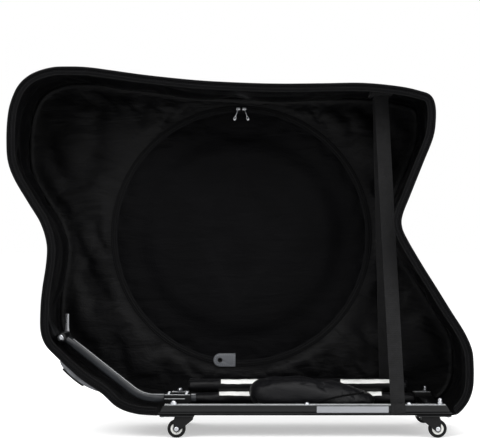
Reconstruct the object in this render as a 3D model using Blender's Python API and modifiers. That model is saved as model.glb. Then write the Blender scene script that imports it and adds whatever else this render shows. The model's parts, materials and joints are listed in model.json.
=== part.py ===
"""Soft bike travel bag: a padded shell on a wheeled floor frame, open on its near side.

+Z is up, +X runs to the rear of the bag and -Y faces the open side. The origin is on the floor
under the middle of the bag. Lengths are in metres.
"""

import math

import bmesh
import bpy
from mathutils import Matrix, Vector

# Driving sizes
LENGTH = 1.170
HEIGHT = 0.932
DEPTH = 0.308
FLOOR_HEIGHT = 0.058
FOLD_DEPTH = 0.012
SHELL_THICKNESS = 0.004
PANEL_THICKNESS = 0.0037
CLEARANCE = 0.0003
CUT_OVERRUN = 0.002

# The rim: piping on the near edge and one half of a zip behind it
PIPING_RADIUS = 0.0035
RIM_TAPE_WIDTH = 0.014
RIM_TAPE_THICKNESS = 0.0016

# Floor rails
RAIL_FRONT_INSET = 0.0043
RAIL_REAR_INSET = 0.0047
RAIL_HEIGHT = 0.022
RAIL_WIDTH = 0.024
RAIL_END_SLANT = 0.012
RAIL_EDGE = 0.0015
PLATE_LENGTH = 0.180
PLATE_HEIGHT = 0.016
PLATE_THICKNESS = 0.0015
PLATE_STRAP_GAP = 0.006
FRONT_BAR_INSET = 0.037
REAR_BAR_INSET = 0.028
CROSS_BAR_WIDTH = 0.040
CROSS_BAR_HEIGHT = 0.008

# Fasteners on the rails
BOLT_PLATE_GAP = 0.024
BOLT_STRAP_GAP = 0.028
BOLT_RADIUS = 0.0065
BOLT_HEIGHT = 0.006
CAP_NUT_RADIUS = 0.0085
CAP_NUT_HEIGHT = 0.011
TALL_NUT_RADIUS = 0.0065
TALL_NUT_HEIGHT = 0.016
FASTENER_STEPS = 16

# Casters
FRONT_CASTER_INSET = 0.064
REAR_CASTER_INSET = 0.053
CASTER_RAIL_OFFSET = 0.008
CASTER_TRAIL = 0.020
CASTER_PLATE_LENGTH = 0.087
CASTER_PLATE_WIDTH = 0.044
CASTER_PLATE_THICKNESS = 0.003
CASTER_PLATE_INSET = 0.002
WHEEL_RADIUS = 0.023
WHEEL_WIDTH = 0.018
TYRE_BORE = 0.015
AXLE_RADIUS = 0.003
AXLE_HEAD_RADIUS = 0.0055
AXLE_HEAD = 0.0022
WHEEL_SIDE_CLEARANCE = 0.0015
FORK_CHEEK = 0.003
FORK_CROWN = 0.005
WHEEL_STEPS = 24

# Wheel pocket on the far wall
POCKET_RADIUS = 0.340
POCKET_HEIGHT = 0.509
POCKET_THICKNESS = 0.003
ZIP_WIDTH = 0.016
ZIP_RIDGE_WIDTH = 0.006
ZIP_RIDGE = 0.0015
POCKET_STEPS = 56
SLIDER_LENGTH = 0.010
SLIDER_WIDTH = 0.009
SLIDER_THICKNESS = 0.004
SLIDER_SPACING = 0.017
PULL_LENGTH = 0.034
PULL_WIDTH = 0.007
PULL_THICKNESS = 0.0016
PULL_LEAN = math.radians(20)
TAB_REAR = -0.016
TAB_LENGTH = 0.060
TAB_WIDTH = 0.036
TAB_THICKNESS = 0.0024
TAB_HEIGHT = 0.170
TAB_EYELET = 0.004

# Fork support
ARM_RADIUS = 0.0105
ARM_TAIL = 0.012
CLAMP_LENGTH = 0.070
CLAMP_WIDTH = 0.040
CLAMP_HEIGHT = 0.0254
CLAMP_INSET = 0.004
HEAD_RADIUS = 0.012
HEAD_LENGTH = 0.100
SKEWER_RADIUS = 0.0045
SKEWER_NUT_RADIUS = 0.0085
SKEWER_NUT = 0.010
FORK_END_GAP = 0.0085
LEVER_LENGTH = 0.055
LEVER_WIDTH = 0.012
LEVER_THICKNESS = 0.005
CAM_RADIUS = 0.0075
CAM_LENGTH = 0.014

# Hold-down strap
STRAP_WIDTH = 0.036
STRAP_THICKNESS = 0.0018
STRAP_INSET = 0.134
STRAP_LEAN = 0.030
STRAP_TOP_OFFSET = 0.020
ANCHOR_LENGTH = 0.056
ANCHOR_WIDTH = 0.080
ANCHOR_THICKNESS = 0.004

# Grab handle under the front of the shell
HANDLE_WIDTH = 0.045
HANDLE_THICKNESS = 0.003
HANDLE_RISE = 0.034
HANDLE_POINTS = slice(3, 7)

# Loose padding that travels in the bag
PAD_LENGTH = 0.330
PAD_HEIGHT = 0.095
PAD_ROUNDING = 0.030
PAD_STRAP_GAP = 0.046
PAD_RAIL_GAP = 0.006
PAD_SLEEVE_GAP = 0.010
DOWN_TUBE_SLEEVE = 0.305
SLEEVE_THICKNESS = 0.032
SLEEVE_ROUNDING = 0.012
SLEEVE_SPACING = 0.008
SLEEVE_CLAMP_LAP = 0.010
SLEEVE_CLAMP_GAP = 0.010
SLEEVE_BAR_GAP = 0.019
SLEEVE_RAIL_GAP = 0.004
UPPER_SLEEVE_SHORTER = 0.020
UPPER_SLEEVE_NARROWER = 0.018

# The shell's outline as seen from the open side, in four runs that follow each other. The first
# number is a share of LENGTH from the middle, the second a share of the height above the floor panel.
FRONT_SHARES = (
    (-0.178, 0.000), (-0.224, 0.005), (-0.263, 0.024), (-0.296, 0.063), (-0.336, 0.100),
    (-0.367, 0.135), (-0.393, 0.168), (-0.416, 0.201), (-0.427, 0.243), (-0.427, 0.311),
    (-0.423, 0.366), (-0.415, 0.437), (-0.414, 0.492), (-0.427, 0.551), (-0.453, 0.609),
    (-0.483, 0.677), (-0.497, 0.729), (-0.500, 0.786), (-0.498, 0.849), (-0.491, 0.898),
    (-0.474, 0.947), (-0.446, 0.979), (-0.406, 0.997),
)
ROOF_SHARES = (
    (-0.406, 0.997), (-0.368, 1.000), (-0.325, 0.998), (-0.274, 0.989), (-0.197, 0.975),
    (-0.094, 0.961), (0.000, 0.954), (0.085, 0.951), (0.175, 0.952), (0.265, 0.953),
    (0.342, 0.943), (0.386, 0.930),
)
REAR_SHARES = (
    (0.386, 0.930), (0.408, 0.918), (0.418, 0.890), (0.419, 0.843), (0.413, 0.794),
    (0.392, 0.723), (0.366, 0.636), (0.348, 0.574), (0.347, 0.540), (0.359, 0.503),
    (0.390, 0.432), (0.421, 0.366), (0.453, 0.297), (0.480, 0.240), (0.496, 0.192),
    (0.500, 0.151), (0.500, 0.094), (0.495, 0.059), (0.485, 0.032), (0.471, 0.010),
    (0.457, 0.000),
)
BASE_SHARES = ((0.457, 0.000), (-0.178, 0.000))

# The gussets' soft folds: how deep each is at the points of its run, in shares of FOLD_DEPTH, and the
# same across the gusset, each with its place as a share of the gusset's width from the open side
FRONT_FOLDS = (
    0.0, 0.0, 0.0, 0.3, 0.6, 0.4, 0.1, 0.0, 0.0, 0.3, 0.7, 0.9, 1.0, 0.6, 0.8, 1.0, 0.7, 0.8, 1.0, 0.7,
    0.4, 0.2, 0.0,
)
ROOF_FOLDS = (0.0, 0.4, 0.9, 1.0, 0.6, 1.0, 0.7, 1.0, 0.7, 1.0, 0.4, 0.0)
REAR_FOLDS = (
    0.0, 0.2, 0.6, 0.9, 0.5, 0.2, 0.0, 0.0, 0.0, 0.0, 0.2, 0.6, 1.0, 0.8, 1.0, 0.7, 0.4, 0.1, 0.0, 0.0, 0.0,
)
FOLD_STATIONS = (
    (0.00, 0.0), (0.08, 0.0), (0.15, 0.65), (0.23, 1.0), (0.30, 0.65), (0.35, 0.0), (0.64, 0.0), (0.70, 0.6),
    (0.77, 0.9), (0.85, 0.6), (0.92, 0.0), (1.00, 0.0),
)

# The support tube's bend, elbow and head in the same shares, the bend at the clamp's own height
ARM_BEND_SHARE = -0.2205
ARM_ELBOW_SHARES = (-0.369, 0.186)
ARM_HEAD_SHARES = (-0.397, 0.214)

# The caster fork's side view, in shares of its own height: trail direction, then up
CASTER_FORK_SHARES = (
    (-0.40, 1.00), (0.44, 1.00), (0.52, 0.78), (0.50, 0.30), (0.38, 0.21), (0.26, 0.27), (-0.40, 0.86),
)

# The grab handle's rise along its run, in shares of its length and of HANDLE_RISE
HANDLE_SHARES = (
    (0.0, 0.0), (0.12, 0.0), (0.24, 0.55), (0.37, 0.9), (0.50, 1.0), (0.63, 0.9), (0.76, 0.55), (0.88, 0.0),
    (1.0, 0.0),
)

FAR_WALL = DEPTH / 2 - PANEL_THICKNESS
RAIL_FACE = FAR_WALL - CLEARANCE
GUSSET_NEAR = -(DEPTH / 2 - 2 * PIPING_RADIUS - CLEARANCE)
GUSSET_FAR = FAR_WALL - CLEARANCE
FLOOR_TOP = FLOOR_HEIGHT + SHELL_THICKNESS
RAIL_BOTTOM = FLOOR_TOP + CLEARANCE
RAIL_TOP = RAIL_BOTTOM + RAIL_HEIGHT
RAIL_MIDDLE = RAIL_FACE - RAIL_WIDTH / 2
RAIL_INNER = RAIL_FACE - RAIL_WIDTH
NOTCH_DEPTH = STRAP_THICKNESS + 2 * CLEARANCE
LOOP_INSIDE = RAIL_TOP + CLEARANCE
LOOP_TOP = LOOP_INSIDE + STRAP_THICKNESS
RAIL_FRONT = BASE_SHARES[-1][0] * LENGTH + RAIL_FRONT_INSET
RAIL_REAR = BASE_SHARES[0][0] * LENGTH - RAIL_REAR_INSET
FRONT_BAR = RAIL_FRONT + FRONT_BAR_INSET
REAR_BAR = RAIL_REAR - REAR_BAR_INSET
STRAP_FOOT = RAIL_REAR - STRAP_INSET
STRAP_TOP = STRAP_FOOT - STRAP_LEAN
PLATE_REAR = STRAP_FOOT - STRAP_WIDTH / 2 - PLATE_STRAP_GAP
PLATE_FRONT = PLATE_REAR - PLATE_LENGTH
BOLT_PLACES = (PLATE_FRONT - BOLT_PLATE_GAP, STRAP_FOOT + BOLT_STRAP_GAP)
CASTER_FRONT = RAIL_FRONT + FRONT_CASTER_INSET
CASTER_REAR = RAIL_REAR - REAR_CASTER_INSET
CASTER_OFFSET = RAIL_MIDDLE - CASTER_RAIL_OFFSET
CASTER_HEIGHT = FLOOR_HEIGHT - 2 * CLEARANCE - CASTER_PLATE_THICKNESS
CROSS_BAR_TOP = RAIL_BOTTOM + CROSS_BAR_HEIGHT
ARM_HEIGHT = CROSS_BAR_TOP + CLEARANCE + CLAMP_HEIGHT / 2
CLAMP_FRONT = RAIL_FRONT + CLAMP_INSET
CLAMP_REAR = CLAMP_FRONT + CLAMP_LENGTH
SLEEVE_START = CLAMP_REAR - SLEEVE_CLAMP_LAP
SLEEVE_END = REAR_BAR - CROSS_BAR_WIDTH / 2 - SLEEVE_BAR_GAP
SLEEVE_NEAR = CLAMP_WIDTH / 2 + SLEEVE_CLAMP_GAP
SLEEVE_WIDTH = RAIL_INNER - SLEEVE_RAIL_GAP - SLEEVE_NEAR
PAD_START = STRAP_FOOT - PAD_STRAP_GAP - PAD_LENGTH
PAD_NEAR = -(RAIL_INNER - PAD_RAIL_GAP)
PAD_WIDTH = SLEEVE_NEAR - PAD_SLEEVE_GAP - PAD_NEAR
POCKET_FACE = FAR_WALL - CLEARANCE - POCKET_THICKNESS
ZIP_FACE = POCKET_FACE - ZIP_RIDGE
ZIP_RADIUS = POCKET_RADIUS + CLEARANCE + ZIP_WIDTH / 2

parts = bpy.data.collections.new("soft_bike_travel_bag")
cutters = bpy.data.collections.new("cutters")


def start_scene():
    for old in list(bpy.data.objects):
        bpy.data.objects.remove(old, do_unlink=True)
    for collection in (parts, cutters):
        bpy.context.scene.collection.children.link(collection)


def srgb(code):
    """A six-digit sRGB colour code as a linear colour."""
    channels = [int(code[start : start + 2], 16) / 255 for start in (0, 2, 4)]
    return [c / 12.92 if c <= 0.04045 else ((c + 0.055) / 1.055) ** 2.4 for c in channels] + [1.0]


def material(name, code, roughness, metallic=0.0):
    made = bpy.data.materials.get(name) or bpy.data.materials.new(name)
    made.use_nodes = True
    shader = made.node_tree.nodes["Principled BSDF"]
    shader.inputs["Base Color"].default_value = srgb(code)
    shader.inputs["Roughness"].default_value = roughness
    shader.inputs["Metallic"].default_value = metallic
    made.diffuse_color = srgb(code)
    return made


def lining():
    return material("black lining", "141416", 0.55)


def webbing():
    return material("black webbing", "161618", 0.8)


def black_paint():
    return material("black paint", "1b1b1d", 0.35, 0.3)


def steel():
    return material("bright steel", "b9bbbe", 0.25, 1.0)


def black_plastic():
    return material("black plastic", "1a1a1b", 0.45)


def place(obj, finish, location=(0, 0, 0), rotation=(0, 0, 0), parent=None):
    obj.data.materials.append(finish)
    obj.location = location
    obj.rotation_euler = rotation
    obj.parent = parent
    parts.objects.link(obj)
    return obj


def empty(name, location, rotation=(0, 0, 0), parent=None):
    guide = bpy.data.objects.new(name, None)
    guide.location = location
    guide.rotation_euler = rotation
    guide.parent = parent
    parts.objects.link(guide)
    return guide


def plane_turn(plane):
    """Turns a flat outline's own X and Y to the world's X and Z, or to its Y and Z."""
    if plane == "XZ":
        return (math.pi / 2, 0, 0)
    return (math.pi / 2, 0, math.pi / 2)


def flat_outline(name, loops, thickness):
    """A filled outline, the later loops being holes, as thick as it says on both sides of its plane."""
    curve = bpy.data.curves.new(name, "CURVE")
    curve.dimensions = "2D"
    curve.fill_mode = "BOTH"
    curve.extrude = thickness / 2
    for loop in loops:
        spline = curve.splines.new("POLY")
        spline.points.add(len(loop) - 1)
        for point, (across, up) in zip(spline.points, loop):
            point.co = Vector((across, up, 0)).to_4d()
        spline.use_cyclic_u = True
    return bpy.data.objects.new(name, curve)


def as_mesh(obj):
    """The curve's solid as a mesh object, its caps welded."""
    parts.objects.link(obj)
    bpy.context.view_layer.update()
    graph = bpy.context.evaluated_depsgraph_get()
    mesh = bpy.data.meshes.new_from_object(obj.evaluated_get(graph))
    name = obj.name
    bpy.data.objects.remove(obj, do_unlink=True)
    form = bmesh.new()
    form.from_mesh(mesh)
    bmesh.ops.remove_doubles(form, verts=form.verts, dist=CLEARANCE / 100)
    form.to_mesh(mesh)
    form.free()
    made = bpy.data.objects.new(name, mesh)
    mesh.name = name
    return made


def tube(name, points, radius, resolution=2):
    curve = bpy.data.curves.new(name, "CURVE")
    curve.dimensions = "3D"
    curve.bevel_depth = radius
    curve.bevel_resolution = resolution
    curve.use_fill_caps = True
    spline = curve.splines.new("POLY")
    spline.points.add(len(points) - 1)
    for point, place_at in zip(spline.points, points):
        point.co = Vector(place_at).to_4d()
    return bpy.data.objects.new(name, curve)


def turned(name, profile, steps, closed=True):
    """A profile of (radius, height) points, down its outer side, turned about its own Z axis."""
    mesh = bpy.data.meshes.new(name)
    count = len(profile)
    edges = [(step, (step + 1) % count) for step in range(count if closed else count - 1)]
    mesh.from_pydata([(radius, 0, height) for radius, height in profile], edges, [])
    obj = bpy.data.objects.new(name, mesh)
    screw = obj.modifiers.new("turn", "SCREW")
    screw.steps = steps
    screw.render_steps = steps
    screw.use_merge_vertices = True
    screw.merge_threshold = CLEARANCE / 100
    screw.use_smooth_shade = True
    return obj


def block(name, size, rounding=0.0, segments=2):
    """A box about its own origin, its scale applied."""
    form = bmesh.new()
    bmesh.ops.create_cube(form, size=1)
    bmesh.ops.scale(form, vec=size, verts=form.verts)
    mesh = bpy.data.meshes.new(name)
    form.to_mesh(mesh)
    form.free()
    obj = bpy.data.objects.new(name, mesh)
    if rounding:
        soften(obj, rounding, segments)
    return obj


def soften(obj, width, segments=2):
    bevel = obj.modifiers.new("rounded edges", "BEVEL")
    bevel.width = width
    bevel.segments = segments
    bevel.limit_method = "ANGLE"


def combine(target, other, operation):
    """Cuts another solid out of the target, or joins it to the target."""
    cutters.objects.link(other)
    other.hide_render = True
    other.display_type = "WIRE"
    boolean = target.modifiers.new(other.name, "BOOLEAN")
    boolean.operation = operation
    boolean.solver = "EXACT"
    boolean.object = other


def rod(name, radius, length, sides=16):
    form = bmesh.new()
    bmesh.ops.create_cone(form, cap_ends=True, segments=sides, radius1=radius, radius2=radius, depth=length)
    mesh = bpy.data.meshes.new(name)
    form.to_mesh(mesh)
    form.free()
    return bpy.data.objects.new(name, mesh)


def outline_points(shares):
    rise = HEIGHT - FLOOR_HEIGHT
    return [Vector((across * LENGTH, FLOOR_HEIGHT + up * rise)) for across, up in shares]


def whole_outline():
    runs = (FRONT_SHARES, ROOF_SHARES, REAR_SHARES, BASE_SHARES)
    return [point for shares in runs for point in outline_points(shares)[:-1]]


def inward(loop, distance):
    """The closed outline moved in by a distance, point for point. The outline runs clockwise."""
    moved = []
    for index, point in enumerate(loop):
        ahead = (loop[(index + 1) % len(loop)] - point).normalized()
        behind = (point - loop[index - 1]).normalized()
        normal = Vector((ahead.y + behind.y, -ahead.x - behind.x)).normalized()
        reach = distance / max(normal.dot(Vector((ahead.y, -ahead.x))), 0.5)
        moved.append(point + normal * reach)
    return moved


def run_slice(start_shares, end_shares, distance):
    """The stretch of the inset outline from the first point of one run to the last of another."""
    runs = (FRONT_SHARES, ROOF_SHARES, REAR_SHARES, BASE_SHARES)
    starts = [sum(len(run) - 1 for run in runs[:order]) for order in range(len(runs) + 1)]
    loop = inward(whole_outline(), distance)
    first = starts[runs.index(start_shares)]
    last = starts[runs.index(end_shares) + 1]
    return [loop[index % len(loop)] for index in range(first, last + 1)]


def shortened(points, distance):
    """An open line with both ends drawn back by a distance."""
    points = [point.copy() for point in points]
    points[0] += (points[1] - points[0]).normalized() * distance
    points[-1] += (points[-2] - points[-1]).normalized() * distance
    return points


def band(name, start_shares, end_shares, outer, inner, near, far, finish):
    """A strip along the outline between two insets, from one depth to another."""
    outside = shortened(run_slice(start_shares, end_shares, outer), CLEARANCE / 2)
    inside = shortened(run_slice(start_shares, end_shares, inner), CLEARANCE / 2)
    strip = flat_outline(name, [outside + inside[::-1]], far - near)
    return place(strip, finish, (0, (near + far) / 2, 0), plane_turn("XZ"))


def folded_band(name, shares, folds, finish):
    """A gusset: the outline's strip, pressed in along its soft folds by as much inside as outside."""
    form = bmesh.new()
    rings = []
    for reach, strength in FOLD_STATIONS:
        depth = GUSSET_NEAR + reach * (GUSSET_FAR - GUSSET_NEAR)
        ring = []
        for inset in (0, SHELL_THICKNESS):
            plain = shortened(run_slice(shares, shares, inset), CLEARANCE / 2)
            pressed = shortened(run_slice(shares, shares, inset + FOLD_DEPTH), CLEARANCE / 2)
            line = [spot.lerp(deep, fold * strength) for spot, deep, fold in zip(plain, pressed, folds)]
            ring.append([form.verts.new((spot.x, depth, spot.y)) for spot in line])
        rings.append(ring)
    for ring, beyond in zip(rings, rings[1:]):
        loop = ring[0] + ring[1][::-1]
        after = beyond[0] + beyond[1][::-1]
        for index in range(len(loop)):
            form.faces.new((loop[index - 1], loop[index], after[index], after[index - 1]))
    for outside, inside in (rings[0], rings[-1]):
        for index in range(1, len(outside)):
            form.faces.new((outside[index - 1], outside[index], inside[index], inside[index - 1]))
    bmesh.ops.recalc_face_normals(form, faces=form.faces)
    mesh = bpy.data.meshes.new(name)
    form.to_mesh(mesh)
    form.free()
    return place(bpy.data.objects.new(name, mesh), finish)


def height_under(points, across):
    """The height of an open outline stretch at one place along the bag."""
    for start, end in zip(points, points[1:]):
        if start.x <= across <= end.x:
            return start.y + (end.y - start.y) * (across - start.x) / (end.x - start.x)
    return points[-1].y


def add_shell():
    for name, shares, folds in (
        ("front_gusset", FRONT_SHARES, FRONT_FOLDS),
        ("roof_gusset", ROOF_SHARES, ROOF_FOLDS),
        ("rear_gusset", REAR_SHARES, REAR_FOLDS),
    ):
        folded_band(name, shares, folds, lining())
    band("base_panel", BASE_SHARES, BASE_SHARES, 0, SHELL_THICKNESS, GUSSET_NEAR, GUSSET_FAR, lining())
    wall = flat_outline("side_panel", [whole_outline()], PANEL_THICKNESS)
    place(wall, lining(), (0, FAR_WALL + PANEL_THICKNESS / 2, 0), plane_turn("XZ"))


def add_rim():
    line = run_slice(FRONT_SHARES, REAR_SHARES, PIPING_RADIUS)
    depth = -(DEPTH / 2 - PIPING_RADIUS)
    piping = tube("rim_piping", [(point.x, depth, point.y) for point in line], PIPING_RADIUS, 1)
    place(piping, webbing())
    outer = SHELL_THICKNESS + CLEARANCE
    near = GUSSET_NEAR
    band("rim_zip_tape", FRONT_SHARES, REAR_SHARES, outer, outer + RIM_TAPE_WIDTH,
         near, near + RIM_TAPE_THICKNESS, webbing())


def rail_outline(notched):
    """A rail's side view: slanted ends, and a notch under it for the strap's loop."""
    half = STRAP_WIDTH / 2 + RAIL_EDGE + CLEARANCE
    points = [(RAIL_FRONT, RAIL_BOTTOM)]
    if notched:
        points += [
            (STRAP_FOOT - half, RAIL_BOTTOM),
            (STRAP_FOOT - half, RAIL_BOTTOM + NOTCH_DEPTH),
            (STRAP_FOOT + half, RAIL_BOTTOM + NOTCH_DEPTH),
            (STRAP_FOOT + half, RAIL_BOTTOM),
        ]
    points += [
        (RAIL_REAR, RAIL_BOTTOM),
        (RAIL_REAR - RAIL_END_SLANT, RAIL_TOP),
        (RAIL_FRONT + RAIL_END_SLANT, RAIL_TOP),
    ]
    return points


def add_rails():
    for name, side in (("near_rail", -1), ("far_rail", 1)):
        rail = as_mesh(flat_outline(name, [rail_outline(side < 0)], RAIL_WIDTH))
        place(rail, black_paint(), (0, side * RAIL_MIDDLE, 0), plane_turn("XZ"))
        soften(rail, RAIL_EDGE, 1)
    for name, across in (("front_cross_bar", FRONT_BAR), ("rear_cross_bar", REAR_BAR)):
        size = (CROSS_BAR_WIDTH, 2 * (RAIL_INNER - CLEARANCE), CROSS_BAR_HEIGHT)
        height = RAIL_BOTTOM + CROSS_BAR_HEIGHT / 2
        place(block(name, size, RAIL_EDGE), black_paint(), (across, 0, height))
    plate = block("rail_plate", (PLATE_LENGTH, PLATE_THICKNESS, PLATE_HEIGHT))
    depth = -(RAIL_FACE + CLEARANCE + PLATE_THICKNESS / 2)
    middle = (PLATE_FRONT + PLATE_LENGTH / 2, depth, RAIL_BOTTOM + RAIL_HEIGHT / 2)
    place(plate, material("satin plate", "c9cbcd", 0.4, 0.8), middle)


def fastener(name, across, side, profile):
    """A nut or bolt head on top of a rail, its profile a turned one from the axis down its outer side."""
    made = turned(name, profile, FASTENER_STEPS, closed=False)
    place(made, black_paint(), (across, side * RAIL_MIDDLE, RAIL_TOP + CLEARANCE))


def add_fasteners():
    bolt = ((0, BOLT_HEIGHT), (BOLT_RADIUS * 0.6, BOLT_HEIGHT), (BOLT_RADIUS, BOLT_HEIGHT * 0.6), (BOLT_RADIUS, 0))
    for name, across in zip(("rail_bolt_front", "rail_bolt_rear"), BOLT_PLACES):
        fastener(name, across, -1, (*bolt, (0, 0)))
    cap = (
        (0, CAP_NUT_HEIGHT),
        (CAP_NUT_RADIUS * 0.4, CAP_NUT_HEIGHT * 0.95),
        (CAP_NUT_RADIUS * 0.85, CAP_NUT_HEIGHT * 0.7),
        (CAP_NUT_RADIUS, CAP_NUT_HEIGHT * 0.35),
        (CAP_NUT_RADIUS, 0),
        (0, 0),
    )
    tall = (
        (0, TALL_NUT_HEIGHT),
        (TALL_NUT_RADIUS * 0.6, TALL_NUT_HEIGHT),
        (TALL_NUT_RADIUS, TALL_NUT_HEIGHT * 0.8),
        (TALL_NUT_RADIUS, 0),
        (0, 0),
    )
    for label, side in (("near", -1), ("far", 1)):
        fastener(label + "_cap_nut", FRONT_BAR, side, cap)
        fastener(label + "_tall_nut", REAR_BAR, side, tall)


def caster_fork(name, trail):
    """A fork cut from one thick side outline: a slot for the wheel and a hole for its axle."""
    points = [(across * trail * CASTER_HEIGHT, up * CASTER_HEIGHT) for across, up in CASTER_FORK_SHARES]
    slot = WHEEL_WIDTH + 2 * WHEEL_SIDE_CLEARANCE
    fork = as_mesh(flat_outline(name, [points], slot + 2 * FORK_CHEEK))
    fork.data.transform(Matrix.Rotation(math.pi / 2, 4, "X"))
    return fork, slot


def add_caster(label, across, side, trail):
    """One swivel caster, its wheel trailing to the front (-1) or to the rear (1)."""
    depth = side * CASTER_OFFSET
    plate_size = (CASTER_PLATE_LENGTH, CASTER_PLATE_WIDTH, CASTER_PLATE_THICKNESS)
    plate_middle = RAIL_FRONT + CASTER_PLATE_INSET + CASTER_PLATE_LENGTH / 2
    if across > 0:
        plate_middle = RAIL_REAR - CASTER_PLATE_LENGTH / 2
    plate_height = FLOOR_HEIGHT - CLEARANCE - CASTER_PLATE_THICKNESS / 2
    place(block(label + "_caster_plate", plate_size), black_paint(), (plate_middle, depth, plate_height))

    swivel = empty(label + "_caster_swivel", (across, depth, 0))
    axle_spot = (trail * CASTER_TRAIL, 0, WHEEL_RADIUS)
    turn = (-math.pi / 2, 0, 0)
    fork, slot = caster_fork(label + "_caster_fork", trail)
    place(fork, black_plastic(), parent=swivel)
    slot_top = CASTER_HEIGHT - FORK_CROWN
    pocket = block(label + "_slot_cutter", (4 * WHEEL_RADIUS, slot, slot_top + CUT_OVERRUN))
    pocket.location = (0, 0, (slot_top - CUT_OVERRUN) / 2)
    pocket.parent = swivel
    combine(fork, pocket, "DIFFERENCE")
    hole = rod(label + "_hole_cutter", AXLE_RADIUS + CLEARANCE, slot + 2 * FORK_CHEEK + CUT_OVERRUN)
    hole.location = axle_spot
    hole.rotation_euler = turn
    hole.parent = swivel
    combine(fork, hole, "DIFFERENCE")

    cheek = slot / 2 + FORK_CHEEK + CLEARANCE
    pin = (
        (0, cheek + AXLE_HEAD),
        (AXLE_HEAD_RADIUS, cheek + AXLE_HEAD),
        (AXLE_HEAD_RADIUS, cheek),
        (AXLE_RADIUS, cheek),
        (AXLE_RADIUS, -cheek),
        (AXLE_HEAD_RADIUS, -cheek),
        (AXLE_HEAD_RADIUS, -cheek - AXLE_HEAD),
        (0, -cheek - AXLE_HEAD),
    )
    axle = turned(label + "_caster_axle", pin, FASTENER_STEPS, closed=False)
    place(axle, steel(), axle_spot, turn, swivel)
    half = WHEEL_WIDTH / 2
    tread = (
        (TYRE_BORE, half),
        (WHEEL_RADIUS * 0.86, half),
        (WHEEL_RADIUS * 0.96, half * 0.8),
        (WHEEL_RADIUS, half * 0.45),
        (WHEEL_RADIUS, -half * 0.45),
        (WHEEL_RADIUS * 0.96, -half * 0.8),
        (WHEEL_RADIUS * 0.86, -half),
        (TYRE_BORE, -half),
    )
    tyre = turned(label + "_caster_tyre", tread, WHEEL_STEPS)
    place(tyre, material("black rubber", "18181a", 0.7), axle_spot, turn, swivel)
    rim = TYRE_BORE - CLEARANCE
    bore = AXLE_RADIUS + CLEARANCE
    core = (
        (bore, half),
        (rim * 0.4, half),
        (rim * 0.6, half * 0.7),
        (rim, half * 0.8),
        (rim, -half * 0.8),
        (rim * 0.6, -half * 0.7),
        (rim * 0.4, -half),
        (bore, -half),
    )
    hub = turned(label + "_caster_hub", core, WHEEL_STEPS)
    place(hub, material("white plastic", "e6e6e4", 0.35), axle_spot, turn, swivel)


def add_pocket():
    centre = (0, 0, POCKET_HEIGHT)
    turn = (-math.pi / 2, 0, 0)
    back = FAR_WALL - CLEARANCE
    disc = (
        (0, back),
        (POCKET_RADIUS, back),
        (POCKET_RADIUS, POCKET_FACE),
        (0, POCKET_FACE),
    )
    panel = turned("wheel_pocket_panel", disc, POCKET_STEPS, closed=False)
    place(panel, material("charcoal pocket", "1d1d20", 0.6), centre, turn)
    inside = POCKET_RADIUS + CLEARANCE
    ridge = ZIP_RIDGE_WIDTH / 2
    ring = (
        (inside + ZIP_WIDTH, back),
        (inside + ZIP_WIDTH, POCKET_FACE),
        (ZIP_RADIUS + ridge, POCKET_FACE),
        (ZIP_RADIUS + ridge * 0.6, ZIP_FACE),
        (ZIP_RADIUS - ridge * 0.6, ZIP_FACE),
        (ZIP_RADIUS - ridge, POCKET_FACE),
        (inside, POCKET_FACE),
        (inside, back),
    )
    zip_ring = turned("pocket_zip", ring, POCKET_STEPS)
    place(zip_ring, webbing(), centre, turn)

    face = ZIP_FACE - CLEARANCE
    for name, side in (("front", -1), ("rear", 1)):
        angle = side * math.asin(SLIDER_SPACING / 2 / ZIP_RADIUS)
        hub = empty(name + "_slider_axis", centre, (0, angle, 0))
        size = (SLIDER_LENGTH, SLIDER_THICKNESS, SLIDER_WIDTH)
        slider = block("pocket_slider_" + name, size, SLIDER_THICKNESS / 4, 1)
        place(slider, steel(), (0, face - SLIDER_THICKNESS / 2, ZIP_RADIUS), parent=hub)
        depth = face - SLIDER_THICKNESS - CLEARANCE - PULL_THICKNESS / 2
        hinge = empty(name + "_pull_hinge", (0, depth, ZIP_RADIUS), (0, side * -PULL_LEAN, 0), hub)
        pull = block("pocket_pull_" + name, (PULL_WIDTH, PULL_THICKNESS, PULL_LENGTH))
        place(pull, steel(), (0, 0, -PULL_LENGTH / 2), parent=hinge)

    end = TAB_WIDTH / 2
    tip = [
        (-TAB_LENGTH + end + end * math.cos(turn_by), end * math.sin(turn_by))
        for turn_by in (math.pi / 2 + math.pi * step / 8 for step in range(9))
    ]
    eyelet = [
        (-TAB_LENGTH + end + TAB_EYELET * math.cos(turn_by), TAB_EYELET * math.sin(turn_by))
        for turn_by in (2 * math.pi * step / 12 for step in range(12))
    ]
    outline = [(0, end), *tip, (0, -end)]
    tab = flat_outline("pocket_tab", [outline, eyelet], TAB_THICKNESS)
    depth = ZIP_FACE - CLEARANCE - TAB_THICKNESS / 2
    place(tab, material("grey webbing", "6e7074", 0.8), (TAB_REAR, depth, TAB_HEIGHT), plane_turn("XZ"))


def arm_spots():
    """Where the support tube has its elbow and its head."""
    return [Vector((point.x, 0, point.y)) for point in outline_points((ARM_ELBOW_SHARES, ARM_HEAD_SHARES))]


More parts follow.
